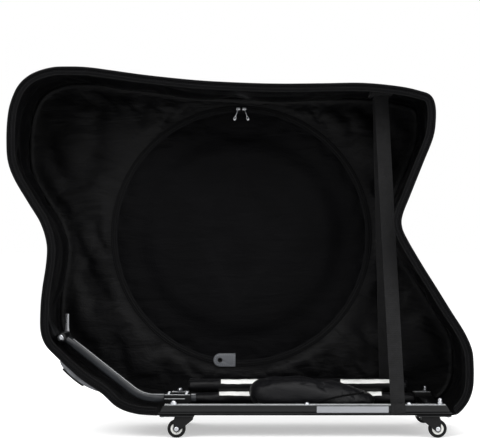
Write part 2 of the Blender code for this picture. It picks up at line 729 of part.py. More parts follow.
def arm_route():
    """The support tube's centre line: level through its clamp, then up to the head in two bends."""
    elbow, head = arm_spots()
    reach = HEAD_RADIUS + 2 * CLEARANCE
    tip = head + (elbow - head).normalized() * reach
    tail = Vector((CLAMP_REAR + ARM_TAIL, 0, ARM_HEIGHT))
    corners = [tail, Vector((ARM_BEND_SHARE * LENGTH, 0, ARM_HEIGHT)), elbow, tip]
    route = [corners[0]]
    for before, corner, after, share in zip(corners, corners[1:], corners[2:], (0.25, 0.4)):
        start = corner + (before - corner) * share
        end = corner + (after - corner) * share * 0.6
        for step in range(7):
            along = step / 6
            route.append(start * (1 - along) ** 2 + corner * 2 * along * (1 - along) + end * along**2)
    route.append(tip)
    return route


def add_fork_support():
    arm = tube("fork_arm", arm_route(), ARM_RADIUS, 3)
    place(arm, material("dark grey paint", "3a3b3e", 0.35, 0.4))
    clamp = block("arm_clamp", (CLAMP_LENGTH, CLAMP_WIDTH, CLAMP_HEIGHT), RAIL_EDGE)
    place(clamp, black_plastic(), (CLAMP_FRONT + CLAMP_LENGTH / 2, 0, ARM_HEIGHT))
    bore = rod("clamp_bore_cutter", ARM_RADIUS + CLEARANCE, CLAMP_LENGTH + CUT_OVERRUN, 20)
    bore.location = clamp.location
    bore.rotation_euler = (0, math.pi / 2, 0)
    combine(clamp, bore, "DIFFERENCE")

    spot = arm_spots()[1]
    turn = (-math.pi / 2, 0, 0)
    half = HEAD_LENGTH / 2
    bore_radius = SKEWER_RADIUS + CLEARANCE
    sleeve = ((HEAD_RADIUS, half), (HEAD_RADIUS, -half), (bore_radius, -half), (bore_radius, half))
    place(turned("fork_mount_head", sleeve, 20), black_paint(), spot, turn)
    end = half + FORK_END_GAP
    pin = (
        (0, end),
        (SKEWER_RADIUS, end),
        (SKEWER_RADIUS, -end),
        (SKEWER_NUT_RADIUS, -end),
        (SKEWER_NUT_RADIUS * 0.8, -end - SKEWER_NUT),
        (0, -end - SKEWER_NUT),
    )
    place(turned("fork_skewer", pin, FASTENER_STEPS, closed=False), steel(), spot, turn)

    pivot = empty("lever_pivot", spot + Vector((0, end + CLEARANCE + CAM_RADIUS, 0)))
    cam = rod("cam_cutter", CAM_RADIUS, CAM_LENGTH, 16)
    cam.rotation_euler = (0, math.pi / 2, 0)
    cam.parent = pivot
    lever = block("skewer_lever", (LEVER_WIDTH, LEVER_THICKNESS, LEVER_LENGTH), LEVER_THICKNESS / 4, 1)
    place(lever, steel(), (0, 0, LEVER_LENGTH / 2), parent=pivot)
    combine(lever, cam, "UNION")


def ribbon(name, start, end, finish):
    """A straight strap between two points, its width across the bag's length."""
    along = end - start
    across = (Vector((1, 0, 0)) - along.normalized() * along.normalized().x).normalized()
    strap = block(name, (STRAP_WIDTH, STRAP_THICKNESS, along.length))
    turn = Matrix((across, along.normalized().cross(across), along.normalized())).transposed()
    place(strap, finish, (start + end) / 2, turn.to_euler())
    return strap


def strap_end_rise(start, end):
    """How far a corner of a slanted strap's end stands above the end's middle."""
    along = (end - start).normalized()
    across = (Vector((1, 0, 0)) - along * along.x).normalized()
    through = along.cross(across)
    return abs(across.z) * STRAP_WIDTH / 2 + abs(through.z) * STRAP_THICKNESS / 2


def add_straps():
    roof = run_slice(ROOF_SHARES, ROOF_SHARES, SHELL_THICKNESS + CLEARANCE)
    front = STRAP_TOP - ANCHOR_LENGTH / 2
    rear = STRAP_TOP + ANCHOR_LENGTH / 2
    under = min(height_under(roof, front), height_under(roof, rear)) - ANCHOR_THICKNESS
    outline = [(front, under), (front, height_under(roof, front))]
    outline += [(point.x, point.y) for point in roof if front < point.x < rear]
    outline += [(rear, height_under(roof, rear)), (rear, under)]
    place(flat_outline("strap_anchor", [outline], ANCHOR_WIDTH), webbing(), rotation=plane_turn("XZ"))

    near = RAIL_FACE + CLEARANCE
    inner = RAIL_INNER - CLEARANCE
    low = RAIL_BOTTOM + NOTCH_DEPTH - CLEARANCE
    hole = [(-near, low), (-inner, low), (-inner, LOOP_INSIDE), (-near, LOOP_INSIDE)]
    grow = STRAP_THICKNESS
    ring = [
        (-near - grow, low - grow), (-inner + grow, low - grow),
        (-inner + grow, LOOP_TOP), (-near - grow, LOOP_TOP),
    ]
    loop = flat_outline("strap_loop", [ring, hole], STRAP_WIDTH)
    place(loop, webbing(), (STRAP_FOOT, 0, 0), plane_turn("YZ"))

    for name, side in (("strap_near", -1), ("strap_far", 1)):
        start = Vector((STRAP_FOOT, side * RAIL_MIDDLE, LOOP_TOP if side < 0 else RAIL_TOP))
        end = Vector((STRAP_TOP, side * STRAP_TOP_OFFSET, under))
        rise = Vector((0, 0, strap_end_rise(start, end) + CLEARANCE))
        ribbon(name, start + rise, end - rise, webbing())


def handle_line(offset):
    """The handle's run along the front slope, lifted off the shell as its shares say."""
    shell = run_slice(FRONT_SHARES, FRONT_SHARES, 0)[HANDLE_POINTS]
    steps = [0.0]
    for start, end in zip(shell, shell[1:]):
        steps.append(steps[-1] + (end - start).length)
    line = []
    for share, rise in HANDLE_SHARES:
        reach = share * steps[-1]
        index = sum(step < reach for step in steps[1:-1])
        start, end = shell[index], shell[index + 1]
        along = (end - start).normalized()
        point = start + along * (reach - steps[index])
        line.append(point + Vector((-along.y, along.x)) * (offset + rise * HANDLE_RISE))
    return line


def add_handle():
    inner = handle_line(3 * CLEARANCE)
    outer = handle_line(3 * CLEARANCE + HANDLE_THICKNESS)
    handle = flat_outline("grab_handle", [inner + outer[::-1]], HANDLE_WIDTH)
    place(handle, material("grey webbing", "6e7074", 0.8), rotation=plane_turn("XZ"))


def add_padding():
    quilt = material("black padding", "17171a", 0.6)
    size = (PAD_LENGTH, PAD_WIDTH, PAD_HEIGHT)
    middle = (PAD_START + PAD_LENGTH / 2, PAD_NEAR + PAD_WIDTH / 2, RAIL_BOTTOM + PAD_HEIGHT / 2)
    place(block("drivetrain_pad", size, PAD_ROUNDING, 3), quilt, middle)
    second = SLEEVE_START + DOWN_TUBE_SLEEVE + SLEEVE_SPACING
    for name, start, length, layer in (
        ("down_tube_sleeve", SLEEVE_START, DOWN_TUBE_SLEEVE, 0),
        ("front_fork_sleeve", second, SLEEVE_END - second, 0),
        ("top_tube_sleeve", SLEEVE_START, DOWN_TUBE_SLEEVE - UPPER_SLEEVE_SHORTER, 1),
        ("seat_stay_sleeve", second, SLEEVE_END - second - UPPER_SLEEVE_SHORTER, 1),
    ):
        width = SLEEVE_WIDTH - layer * UPPER_SLEEVE_NARROWER
        height = RAIL_BOTTOM + layer * (SLEEVE_THICKNESS + CLEARANCE) + SLEEVE_THICKNESS / 2
        middle = (start + length / 2, SLEEVE_NEAR + SLEEVE_WIDTH / 2, height)
        sleeve = block(name, (length, width, SLEEVE_THICKNESS), SLEEVE_ROUNDING, 2)
        place(sleeve, quilt, middle)


def main():
    start_scene()
    add_shell()
    add_rim()
    add_rails()
    add_fasteners()
    for label, across, side, trail in (
        ("front_near", CASTER_FRONT, -1, -1),
        ("front_far", CASTER_FRONT, 1, -1),
        ("rear_near", CASTER_REAR, -1, 1),
        ("rear_far", CASTER_REAR, 1, 1),
    ):
        add_caster(label, across, side, trail)
    add_pocket()
    add_fork_support()
    add_straps()
    add_handle()
    add_padding()


main()
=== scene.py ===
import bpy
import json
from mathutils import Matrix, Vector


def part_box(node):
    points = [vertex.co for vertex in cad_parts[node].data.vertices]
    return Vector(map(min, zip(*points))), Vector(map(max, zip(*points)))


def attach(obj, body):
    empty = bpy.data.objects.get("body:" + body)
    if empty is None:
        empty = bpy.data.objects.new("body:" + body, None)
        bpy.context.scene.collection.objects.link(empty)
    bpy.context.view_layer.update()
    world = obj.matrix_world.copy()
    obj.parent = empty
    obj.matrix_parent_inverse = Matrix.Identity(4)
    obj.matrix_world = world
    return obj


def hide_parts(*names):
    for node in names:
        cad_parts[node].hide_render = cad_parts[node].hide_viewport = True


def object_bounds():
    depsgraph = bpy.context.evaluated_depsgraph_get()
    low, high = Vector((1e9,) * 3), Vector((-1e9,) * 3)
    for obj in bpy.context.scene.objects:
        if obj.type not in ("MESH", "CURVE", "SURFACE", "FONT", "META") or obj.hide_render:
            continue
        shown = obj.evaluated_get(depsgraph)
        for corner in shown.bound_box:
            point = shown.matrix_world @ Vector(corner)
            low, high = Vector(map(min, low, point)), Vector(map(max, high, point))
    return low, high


bl_info = {
    "name": "Soft bike travel bag",
    "version": (1, 0, 0),
    "blender": (4, 5, 0),
    "location": "View3D > Sidebar > Travel bag",
    "description": "Dresses the travel bag's frame with its shell, lining, wheel pocket, straps, rails and casters",
    "category": "Object",
}

import json
import math

import bmesh
import bpy
from bpy.props import FloatProperty, FloatVectorProperty, IntProperty, PointerProperty
from mathutils import Matrix, Vector, noise
from mathutils.bvhtree import BVHTree

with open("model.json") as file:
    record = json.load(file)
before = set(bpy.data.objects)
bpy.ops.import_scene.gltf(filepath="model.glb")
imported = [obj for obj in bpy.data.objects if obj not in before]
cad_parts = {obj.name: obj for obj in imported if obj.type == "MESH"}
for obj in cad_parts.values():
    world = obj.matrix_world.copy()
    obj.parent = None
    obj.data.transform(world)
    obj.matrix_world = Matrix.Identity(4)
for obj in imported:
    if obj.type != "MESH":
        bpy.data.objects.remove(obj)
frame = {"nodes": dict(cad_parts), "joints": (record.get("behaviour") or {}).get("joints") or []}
CAD_BOX = [list(corner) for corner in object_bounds()]

# The shell's outline seen from the open side, clockwise from the front end of its floor: a share of
# the length from the middle, and a share of the shell's own height.
RIM_SHARES = (
    (-0.178, 0.000), (-0.224, 0.005), (-0.263, 0.024), (-0.296, 0.063), (-0.336, 0.100),
    (-0.367, 0.135), (-0.393, 0.168), (-0.416, 0.201), (-0.427, 0.243), (-0.427, 0.311),
    (-0.423, 0.366), (-0.415, 0.437), (-0.414, 0.492), (-0.427, 0.551), (-0.453, 0.609),
    (-0.483, 0.677), (-0.497, 0.729), (-0.500, 0.786), (-0.498, 0.849), (-0.491, 0.898),
    (-0.474, 0.947), (-0.446, 0.979), (-0.406, 0.997), (-0.368, 1.000), (-0.325, 0.998),
    (-0.274, 0.989), (-0.197, 0.975), (-0.094, 0.961), (0.000, 0.954), (0.085, 0.951),
    (0.175, 0.952), (0.265, 0.953), (0.342, 0.943), (0.386, 0.930), (0.408, 0.918),
    (0.418, 0.890), (0.419, 0.843), (0.413, 0.794), (0.392, 0.723), (0.366, 0.636),
    (0.348, 0.574), (0.347, 0.540), (0.359, 0.503), (0.390, 0.432), (0.421, 0.366),
    (0.453, 0.297), (0.480, 0.240), (0.496, 0.192), (0.500, 0.151), (0.500, 0.094),
    (0.495, 0.059), (0.485, 0.032), (0.471, 0.010), (0.457, 0.000),
)
# The soft folds of the gussets: how deep each is at the points above, in shares of the fold depth, and
# across the gusset from its open side to its wall.
RIM_FOLDS = (
    0.0, 0.0, 0.0, 0.3, 0.6, 0.4, 0.1, 0.0, 0.0, 0.3, 0.7, 0.9, 1.0, 0.6, 0.8, 1.0, 0.7, 0.8, 1.0, 0.7, 0.4, 0.2,
    0.0, 0.4, 0.9, 1.0, 0.6, 1.0, 0.7, 1.0, 0.7, 1.0, 0.4,
    0.0, 0.2, 0.6, 0.9, 0.5, 0.2, 0.0, 0.0, 0.0, 0.0, 0.2, 0.6, 1.0, 0.8, 1.0, 0.7, 0.4, 0.1, 0.0, 0.0, 0.0,
)
FOLD_STATIONS = (
    (0.00, 0.0), (0.08, 0.0), (0.15, 0.65), (0.23, 1.0), (0.30, 0.65), (0.35, 0.0), (0.64, 0.0), (0.70, 0.6),
    (0.77, 0.9), (0.85, 0.6), (0.92, 0.0), (1.00, 0.0),
)
# More points of the outline, along its floor, where the gusset has no folds.
FLOOR_SHARES = ((0.42, 0.0), (0.25, 0.0), (0.1, 0.0), (-0.05, 0.0), (-0.14, 0.0))

MM = 0.001
SMOOTHING_STEPS = 12
# The photo in pixels: its size, its eye point, and its floor at the open side. Its scale and the eye's
# distance count at the open side too.
PHOTO_SIZE = (480, 445)
EYE_PIXEL = (255, 243)
FLOOR_PIXEL = 439
METRES_PER_PIXEL = 0.0025
EYE_DISTANCE = 3.156
SENSOR_WIDTH = 36.0
FLOOR_GLOW = 0.42
WORLD_STRENGTH = 0.75


def linear(code):
    """A six-digit sRGB colour code as linear red, green and blue."""
    channels = [int(code[start : start + 2], 16) / 255 for start in (0, 2, 4)]
    return tuple(c / 12.92 if c <= 0.04045 else ((c + 0.055) / 1.055) ** 2.4 for c in channels)


def colour_property(name, description, code):
    return FloatVectorProperty(
        name=name, description=description, subtype="COLOR", size=3, min=0, max=1, default=linear(code)
    )


def length_property(name, description, millimetres):
    return FloatProperty(name=name, description=description, unit="LENGTH", min=0, default=millimetres * MM)


class BagSizes(bpy.types.PropertyGroup):
    """Sizes of the fabric work that a user may change."""

    cell: length_property("Shell mesh cell", "Spacing of the shell's mesh along its outline", 9)
    corner: length_property("Wall corner", "Radius where the gussets turn into the side wall", 20)
    fold_depth: length_property("Fold depth", "Depth of the gussets' main folds", 12)
    ripple_depth: length_property("Ripple depth", "Height of the smaller ripples in the lining", 5)
    fold_limit: length_property("Fold limit", "The furthest that the simulated cloth may move", 5)
    slack: FloatProperty(name="Slack", description="Spare cloth that crumples into folds", default=0.022)
    frames: IntProperty(name="Cloth frames", description="Frames that the cloth is run for", default=14)
    tooth_pitch: length_property("Tooth pitch", "Spacing of the zip's teeth, coarser than real to show", 4.2)
    stitch_pitch: length_property("Stitch pitch", "Spacing of the stitches", 6)
    voxel: length_property("Padding voxel", "Mesh size that padded pieces are rebuilt at", 5)


class BagColours(bpy.types.PropertyGroup):
    """Colours of the bag's finishes."""

    lining: colour_property("Lining", "Nylon taffeta inside the shell", "070708")
    outside: colour_property("Outside", "Woven polyester on the outside", "0e0e0f")
    pocket: colour_property("Pocket", "Nylon of the wheel pocket", "050506")
    webbing: colour_property("Webbing", "Black webbing of the straps", "101011")
    binding: colour_property("Binding", "Black binding, piping and zip tape", "060607")
    handle: colour_property("Handle webbing", "Light grey webbing of the grab handle", "74767a")
    tab: colour_property("Tab", "Coated grey cloth of the pocket's tab", "4c4e52")
    padding: colour_property("Padding", "Nylon over foam on the pad and sleeves", "0c0c0e")
    paint: colour_property("Frame paint", "Powder coat on the rails", "0b0c0d")
    arm_paint: colour_property("Arm paint", "Paint on the fork support", "2a2c2f")
    # A light grey for thin strips on the rails' tops, the arm's top corner and the clamp's edges: painted highlights
    # where their edges catch the light, not a bare metal edge.
    edge: colour_property("Rail edge", "Light strips painted as highlights on the rails, arm and clamp", "b8babc")
    steel: colour_property("Steel", "Bright plated steel", "b4b6ba")
    plate: colour_property("Plate", "Satin anodised plate", "8e9094")
    plastic: colour_property("Plastic", "Moulded black nylon", "0c0c0d")
    hub: colour_property("Wheel core", "White moulded wheel core", "dcdcd8")
    rubber: colour_property("Rubber", "Caster tread", "0a0a0a")
    label: colour_property("Label", "Blank white label cloth", "e4e4e2")
    thread: colour_property("Thread", "Black sewing thread", "18181a")
    pale_thread: colour_property("Pale thread", "Grey thread round the pocket's tab", "85878b")


def sizes():
    return bpy.context.scene.bag_sizes


def colours():
    return bpy.context.scene.bag_colours


# Materials

NOISE = "ShaderNodeTexNoise"
WAVES = "ShaderNodeTexWave"


def add_node(tree, kind, settings=(), values=(), links=()):
    """Adds one shader node, sets its options and socket values, and links its inputs."""
    node = tree.nodes.new(kind)
    for option, setting in dict(settings).items():
        setattr(node, option, setting)
    for name, value in dict(values).items():
        node.inputs[name].default_value = value
    for name, socket in dict(links).items():
        tree.links.new(socket, node.inputs[name])
    return node


def new_finish(name, colour, roughness, metallic=0.0):
    """A material with its node tree and its shader."""
    material = bpy.data.materials.new(name)
    material.use_nodes = True
    shader = material.node_tree.nodes["Principled BSDF"]
    shader.inputs["Base Color"].default_value = (*colour, 1)
    shader.inputs["Roughness"].default_value = roughness
    shader.inputs["Metallic"].default_value = metallic
    return material, material.node_tree, shader


def vary_colour(tree, shader, place, colour, scale, darker, lighter):
    """Soft patches of lighter and darker colour, as handling and dye leave them."""
    patches = add_node(tree, NOISE, values={"Scale": scale, "Detail": 4.0}, links={"Vector": place})
    ramp = add_node(tree, "ShaderNodeValToRGB", links={"Fac": patches.outputs["Fac"]})
    for element, position, strength in zip(ramp.color_ramp.elements, (0.3, 0.7), (darker, lighter)):
        element.position = position
        element.color = (*(channel * strength for channel in colour), 1)
    tree.links.new(ramp.outputs["Color"], shader.inputs["Base Color"])


def vary_roughness(tree, shader, place, scale, low, high):
    """Uneven gloss, as wear and handling leave it."""
    patches = add_node(tree, NOISE, values={"Scale": scale, "Detail": 6.0}, links={"Vector": place})
    values = {"To Min": low, "To Max": high}
    spread = add_node(tree, "ShaderNodeMapRange", values=values, links={"Value": patches.outputs["Fac"]})
    tree.links.new(spread.outputs["Result"], shader.inputs["Roughness"])


def raise_surface(tree, shader, heights):
    """Chains bump nodes: each (height socket, strength, distance) adds to the one before."""
    links = {}
    for height, strength, distance in heights:
        values = {"Strength": strength, "Distance": distance}
        bump = add_node(tree, "ShaderNodeBump", values=values, links={"Height": height, **links})
        links = {"Normal": bump.outputs["Normal"]}
    tree.links.new(bump.outputs["Normal"], shader.inputs["Normal"])


def woven_cloth(name, colour, roughness, thread, crease, sheen, gloss):
    """A woven cloth: threads both ways, small creases, and a sheen along grazing edges.

    Its gloss is low because light is lost between the threads.
    """
    material, tree, shader = new_finish(name, colour, roughness)
    place = add_node(tree, "ShaderNodeTexCoord").outputs["Object"]
    vary_colour(tree, shader, place, colour, 9.0, 0.75, 1.35)
    vary_roughness(tree, shader, place, 40.0, roughness - 0.08, roughness + 0.1)
    threads = {"Scale": 1 / thread / math.pi, "Distortion": 0.4, "Detail": 1.0}
    weave = None
    for direction in "XYZ":
        wave = add_node(tree, WAVES, {"bands_direction": direction}, threads, {"Vector": place}).outputs["Fac"]
        if weave:
            links = {0: weave, 1: wave}
            wave = add_node(tree, "ShaderNodeMath", {"operation": "ADD"}, links=links).outputs["Value"]
        weave = wave
    values = {"Rotation": (0.0, 0.5, 0.0), "Scale": (0.45, 1.0, 1.5)}
    hanging = add_node(tree, "ShaderNodeMapping", values=values, links={"Vector": place})
    heights = []
    for scale, distortion, strength, depth in ((17.0, 0.4, 0.5, crease), (80.0, 1.0, 0.35, crease / 5)):
        values = {"Scale": scale, "Detail": 3.0, "Distortion": distortion}
        creases = add_node(tree, NOISE, values=values, links={"Vector": hanging.outputs["Vector"]})
        heights.append((creases.outputs["Fac"], strength, depth))
    heights.append((weave, 0.4, thread / 5))
    raise_surface(tree, shader, heights)
    shader.inputs["Specular IOR Level"].default_value = gloss
    shader.inputs["Sheen Weight"].default_value = sheen
    shader.inputs["Sheen Roughness"].default_value = 0.4
    return material


def ribbed_webbing(name, colour, rib, gloss):
    """Woven webbing: ribs across its width, read from the piece's own UV map in metres."""
    material, tree, shader = new_finish(name, colour, 0.7)
    place = add_node(tree, "ShaderNodeTexCoord")
    vary_colour(tree, shader, place.outputs["Object"], colour, 60.0, 0.7, 1.4)
    heights = []
    for direction, pitch, distortion, strength, depth in (("X", rib, 0.2, 0.8, 0.6), ("Y", rib * 2, 0.3, 0.3, 0.5)):
        values = {"Scale": 1 / pitch / math.pi, "Distortion": distortion, "Detail": 2.0}
        ribs = add_node(tree, WAVES, {"bands_direction": direction}, values, {"Vector": place.outputs["UV"]})
        heights.append((ribs.outputs["Fac"], strength, depth * MM))
    raise_surface(tree, shader, heights)
    shader.inputs["Specular IOR Level"].default_value = gloss
    shader.inputs["Sheen Weight"].default_value = gloss / 4
    return material


def hard_finish(name, colour, roughness, grain, depth, gloss=0.5, metallic=0.0, coat=0.0):
    """A hard surface: a fine grain in its relief, and worn, uneven gloss. A coat is a clear varnish."""
    material, tree, shader = new_finish(name, colour, roughness, metallic)
    place = add_node(tree, "ShaderNodeTexCoord").outputs["Object"]
    vary_colour(tree, shader, place, colour, 25.0, 0.85, 1.15)
    vary_roughness(tree, shader, place, 70.0, roughness - 0.06, roughness + 0.08)
    grains = add_node(tree, NOISE, values={"Scale": 1 / grain, "Detail": 2.0}, links={"Vector": place})
    raise_surface(tree, shader, [(grains.outputs["Fac"], 0.25, depth)])
    shader.inputs["Specular IOR Level"].default_value = gloss
    shader.inputs["Coat Weight"].default_value = coat
    shader.inputs["Coat Roughness"].default_value = 0.1
    return material


def brushed_plate(name, colour):
    """Satin metal, brushed along its length and left blank."""
    material, tree, shader = new_finish(name, colour, 0.4, 0.85)
    place = add_node(tree, "ShaderNodeTexCoord").outputs["Object"]
    values = {"Scale": (4.0, 300.0, 300.0)}
    stretched = add_node(tree, "ShaderNodeMapping", values=values, links={"Vector": place}).outputs["Vector"]
    lines = add_node(tree, NOISE, values={"Scale": 3.0, "Detail": 4.0}, links={"Vector": stretched})
    raise_surface(tree, shader, [(lines.outputs["Fac"], 0.2, 0.1 * MM)])
    vary_roughness(tree, shader, stretched, 3.0, 0.3, 0.5)
    return material


# Each finish: its slot, how it is made, its name, its colour, and the rest of what its maker asks for.
# Cloth has its roughness, thread and crease sizes, sheen and gloss. Webbing has its rib and gloss. Hard
# finishes have their roughness, and the size and depth of their grain, and some their gloss, metal and
# varnish. Threads are drawn coarser than real, to show.
FINISHES = {
    "nylon_lining": ("lining", woven_cloth, "nylon taffeta lining", "lining", 0.34, 1.5 * MM, 10 * MM, 0.01, 0.07),
    "oxford_cloth": ("webbing", woven_cloth, "polyester oxford", "outside", 0.6, 2 * MM, 7 * MM, 0.04, 0.12),
    "pocket_nylon": ("pocket", woven_cloth, "pocket nylon", "pocket", 0.4, 1.5 * MM, 9 * MM, 0.01, 0.03),
    "quilted_nylon": ("padding", woven_cloth, "nylon over foam", "padding", 0.34, 1.5 * MM, 6 * MM, 0.02, 0.14),
    "coated_cloth": ("grey_webbing", woven_cloth, "grey coated cloth", "tab", 0.5, 1.2 * MM, 1 * MM, 0.05, 0.35),
    "label_cloth": ("padding", woven_cloth, "label ribbon", "label", 0.6, 1.0 * MM, 1 * MM, 0.05, 0.4),
    "black_webbing": ("webbing", ribbed_webbing, "polypropylene webbing", "webbing", 2.4 * MM, 0.16),
    "binding_tape": ("webbing", ribbed_webbing, "polyester binding", "binding", 1.8 * MM, 0.05),
    "grey_webbing": ("grey_webbing", ribbed_webbing, "grey nylon webbing", "handle", 2.4 * MM, 0.2),
    "powder_coat": (
        "black_paint", hard_finish, "black powder coat", "paint", 0.34, 1.6 * MM, 0.25 * MM, 0.22, 0.0, 0.05
    ),
    "arm_coat": ("grey_paint", hard_finish, "dark grey enamel", "arm_paint", 0.3, 2 * MM, 0.08 * MM, 0.3, 0.0, 0.4),
    # Light strips that paint the highlights along top edges.
    "bare_edge": ("satin_plate", hard_finish, "satin aluminium edge", "edge", 0.45, 1 * MM, 0.08 * MM, 0.5, 0.3),
    "plated_steel": ("steel", hard_finish, "zinc-plated steel", "steel", 0.28, 1.0 * MM, 0.08 * MM, 0.5, 1.0),
    "black_nylon": ("black_plastic", hard_finish, "moulded black nylon", "plastic", 0.45, 1.2 * MM, 0.25 * MM, 0.15),
    "wheel_nylon": ("white_plastic", hard_finish, "white moulded nylon", "hub", 0.35, 3 * MM, 0.1 * MM),
    "tread_rubber": ("rubber", hard_finish, "tread rubber", "rubber", 0.68, 1.5 * MM, 0.3 * MM, 0.15),
    "coil_nylon": ("webbing", hard_finish, "zip teeth nylon", "binding", 0.3, 1 * MM, 0.1 * MM, 0.2),
    "sewing_thread": ("", hard_finish, "black sewing thread", "thread", 0.65, 0.8 * MM, 0.15 * MM, 0.2),
    "grey_thread": ("", hard_finish, "grey sewing thread", "pale_thread", 0.6, 0.8 * MM, 0.15 * MM),
    "anodised_plate": ("satin_plate", brushed_plate, "satin anodised aluminium", "plate"),
}
MADE = {}


def finish(key):
    """Each material is made once, when a piece first wears it."""
    if key not in MADE:
        maker, name, colour, *values = FINISHES[key][1:]
        MADE[key] = maker(name, getattr(colours(), colour), *values)
    return MADE[key]


# Modelling helpers

NEARWARD = Vector((0, -1, 0))
UPRIGHT = Matrix.Rotation(math.pi / 2, 4, "X")
SHARP_ANGLE = math.radians(35)


def in_mm(*pairs):
    """Flat points given in millimetres."""
    return [(across * MM, along * MM) for across, along in pairs]


def scaled(profile, radius, height):
    """A profile given in shares of its radius and height."""
    return [(radius * out, height * up) for out, up in profile]


def mirrored(profile):
    """A profile and then its mirror image, back to where it starts."""
    return profile + [(out, -up) for out, up in reversed(profile)]


def turns(count, whole=2 * math.pi):
    """Even angles round a turn, without its end, or over a part of a turn, with its end."""
    return [whole * step / count for step in range(count + (1 if whole < 2 * math.pi else 0))]


def oval(across, along, wide, high, count=12):
    """Points round an oval hole about a flat place."""
    return [(across + wide * math.cos(turn), along + high * math.sin(turn)) for turn in turns(count)]


def walked(steps, stops):
    """For each stop along a line with these reaches: its leg, and its share of that leg."""
    leg = 0
    for stop in stops:
        while steps[leg + 1] <= stop:
            leg += 1
        yield leg, (stop - steps[leg]) / (steps[leg + 1] - steps[leg])


def reaches(points):
    """How far along a line of points each of them is."""
    steps = [0.0]
    for start, end in zip(points, points[1:]):
        steps.append(steps[-1] + (end - start).length)
    return steps


def run_length(points):
    return sum((end - start).length for start, end in zip(points, points[1:]))


def squarish(angle, across_power, up_power):
    """A point of a circle that is drawn out towards the corners of its square."""
    across, up = math.cos(angle), math.sin(angle)
    return math.copysign(abs(across) ** across_power, across), math.copysign(abs(up) ** up_power, up)


def only(piece):
    """Leaves one piece selected and active."""
    bpy.ops.object.select_all(action="DESELECT")
    piece.select_set(True)
    bpy.context.view_layer.objects.active = piece


def in_edit_mode(piece, *steps):
    """Runs edit-mode operators on the whole of a piece."""
    only(piece)
    bpy.ops.object.mode_set(mode="EDIT")
    bpy.ops.mesh.select_all(action="SELECT")
    for step in steps:
        step()
    bpy.ops.object.mode_set(mode="OBJECT")


def weld():
    bpy.ops.mesh.remove_doubles(threshold=0.01 * MM)


def face_outwards():
    bpy.ops.mesh.normals_make_consistent(inside=False)


def modify(piece, kind, **options):
    """Adds a modifier with its options, and applies it."""
    modifier = piece.modifiers.new(kind.lower(), kind)
    for option, value in options.items():
        setattr(modifier, option, value)
    only(piece)
    bpy.ops.object.modifier_apply(modifier=modifier.name)
    return piece


def round_edges(piece, width, segments=3):
    """Bevels the edges that turn by more than the sharp angle."""
    return modify(piece, "BEVEL", width=width, segments=segments, limit_method="ANGLE", angle_limit=SHARP_ANGLE)


def dress(piece, wears, body="bag", stands_for=(), angle=40):
    """Puts a finished piece in the frame: its place in its mesh, its material, its body."""
    only(piece)
    bpy.ops.object.transform_apply(location=True, rotation=True, scale=True)
    bpy.ops.object.shade_smooth_by_angle(angle=math.radians(angle))
    if not piece.data.materials:
        piece.data.materials.append(finish(wears))
    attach(piece, body)
    if stands_for:
        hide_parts(*stands_for)
    return piece


def mesh_piece(name, mesh):
    piece = bpy.data.objects.new(name, mesh)
    bpy.context.scene.collection.objects.link(piece)
    return piece


def loft(name, lines, closed_round=False):
    """A sheet through lines of points, all of the same count: a grid primitive laid on them.

    Its UV map runs along the lines in X and across them in Y, in metres.
    """
    if closed_round:
        lines = [[*line, line[0]] for line in lines]
    across = len(lines[0]) - 1
    along = len(lines) - 1
    only_nothing()
    bpy.ops.mesh.primitive_grid_add(x_subdivisions=across, y_subdivisions=along, size=1)
    piece = bpy.context.object
    piece.name = name
    points = [point for line in lines for point in line]
    for vertex, point in zip(piece.data.vertices, points):
        vertex.co = point
    width = run_length(lines[0])
    length = run_length([line[0] for line in lines])
    for corner in piece.data.uv_layers.active.data:
        corner.uv = (corner.uv[0] * width, corner.uv[1] * length)
    in_edit_mode(piece, weld)
    return piece


def only_nothing():
    if bpy.context.object and bpy.context.object.mode != "OBJECT":
        bpy.ops.object.mode_set(mode="OBJECT")
    bpy.ops.object.select_all(action="DESELECT")


def tube(name, points, radius, cyclic=False, sides=4):
    """A round cord or piping along points, its ends capped."""
    curve = bpy.data.curves.new(name, "CURVE")
    curve.dimensions = "3D"
    curve.bevel_depth = radius
    curve.bevel_resolution = sides
    curve.use_fill_caps = not cyclic
    spline = curve.splines.new("POLY")
    spline.points.add(len(points) - 1)
    for spot, point in zip(spline.points, points):
        spot.co = (*point, 1)
    spline.use_cyclic_u = cyclic
    piece = mesh_piece(name, curve)
    only(piece)
    bpy.ops.object.convert(target="MESH")
    piece = bpy.context.object
    in_edit_mode(piece, weld, face_outwards)
    return piece


def flat_shape(name, loops, thickness, turn):
    """A flat outline with holes as a thick plate, turned into place."""
    curve = bpy.data.curves.new(name, "CURVE")
    curve.dimensions = "2D"
    curve.fill_mode = "BOTH"
    curve.extrude = thickness / 2
    for loop in loops:
        spline = curve.splines.new("POLY")
        spline.points.add(len(loop) - 1)
        for spot, point in zip(spline.points, loop):
            spot.co = (point[0], point[1], 0, 1)
        spline.use_cyclic_u = True
    piece = mesh_piece(name, curve)
    piece.matrix_world = turn
    only(piece)
    bpy.ops.object.convert(target="MESH")
    piece = bpy.context.object
    only(piece)
    bpy.ops.object.transform_apply(location=True, rotation=True, scale=True)
    in_edit_mode(piece, weld, face_outwards)
    return piece


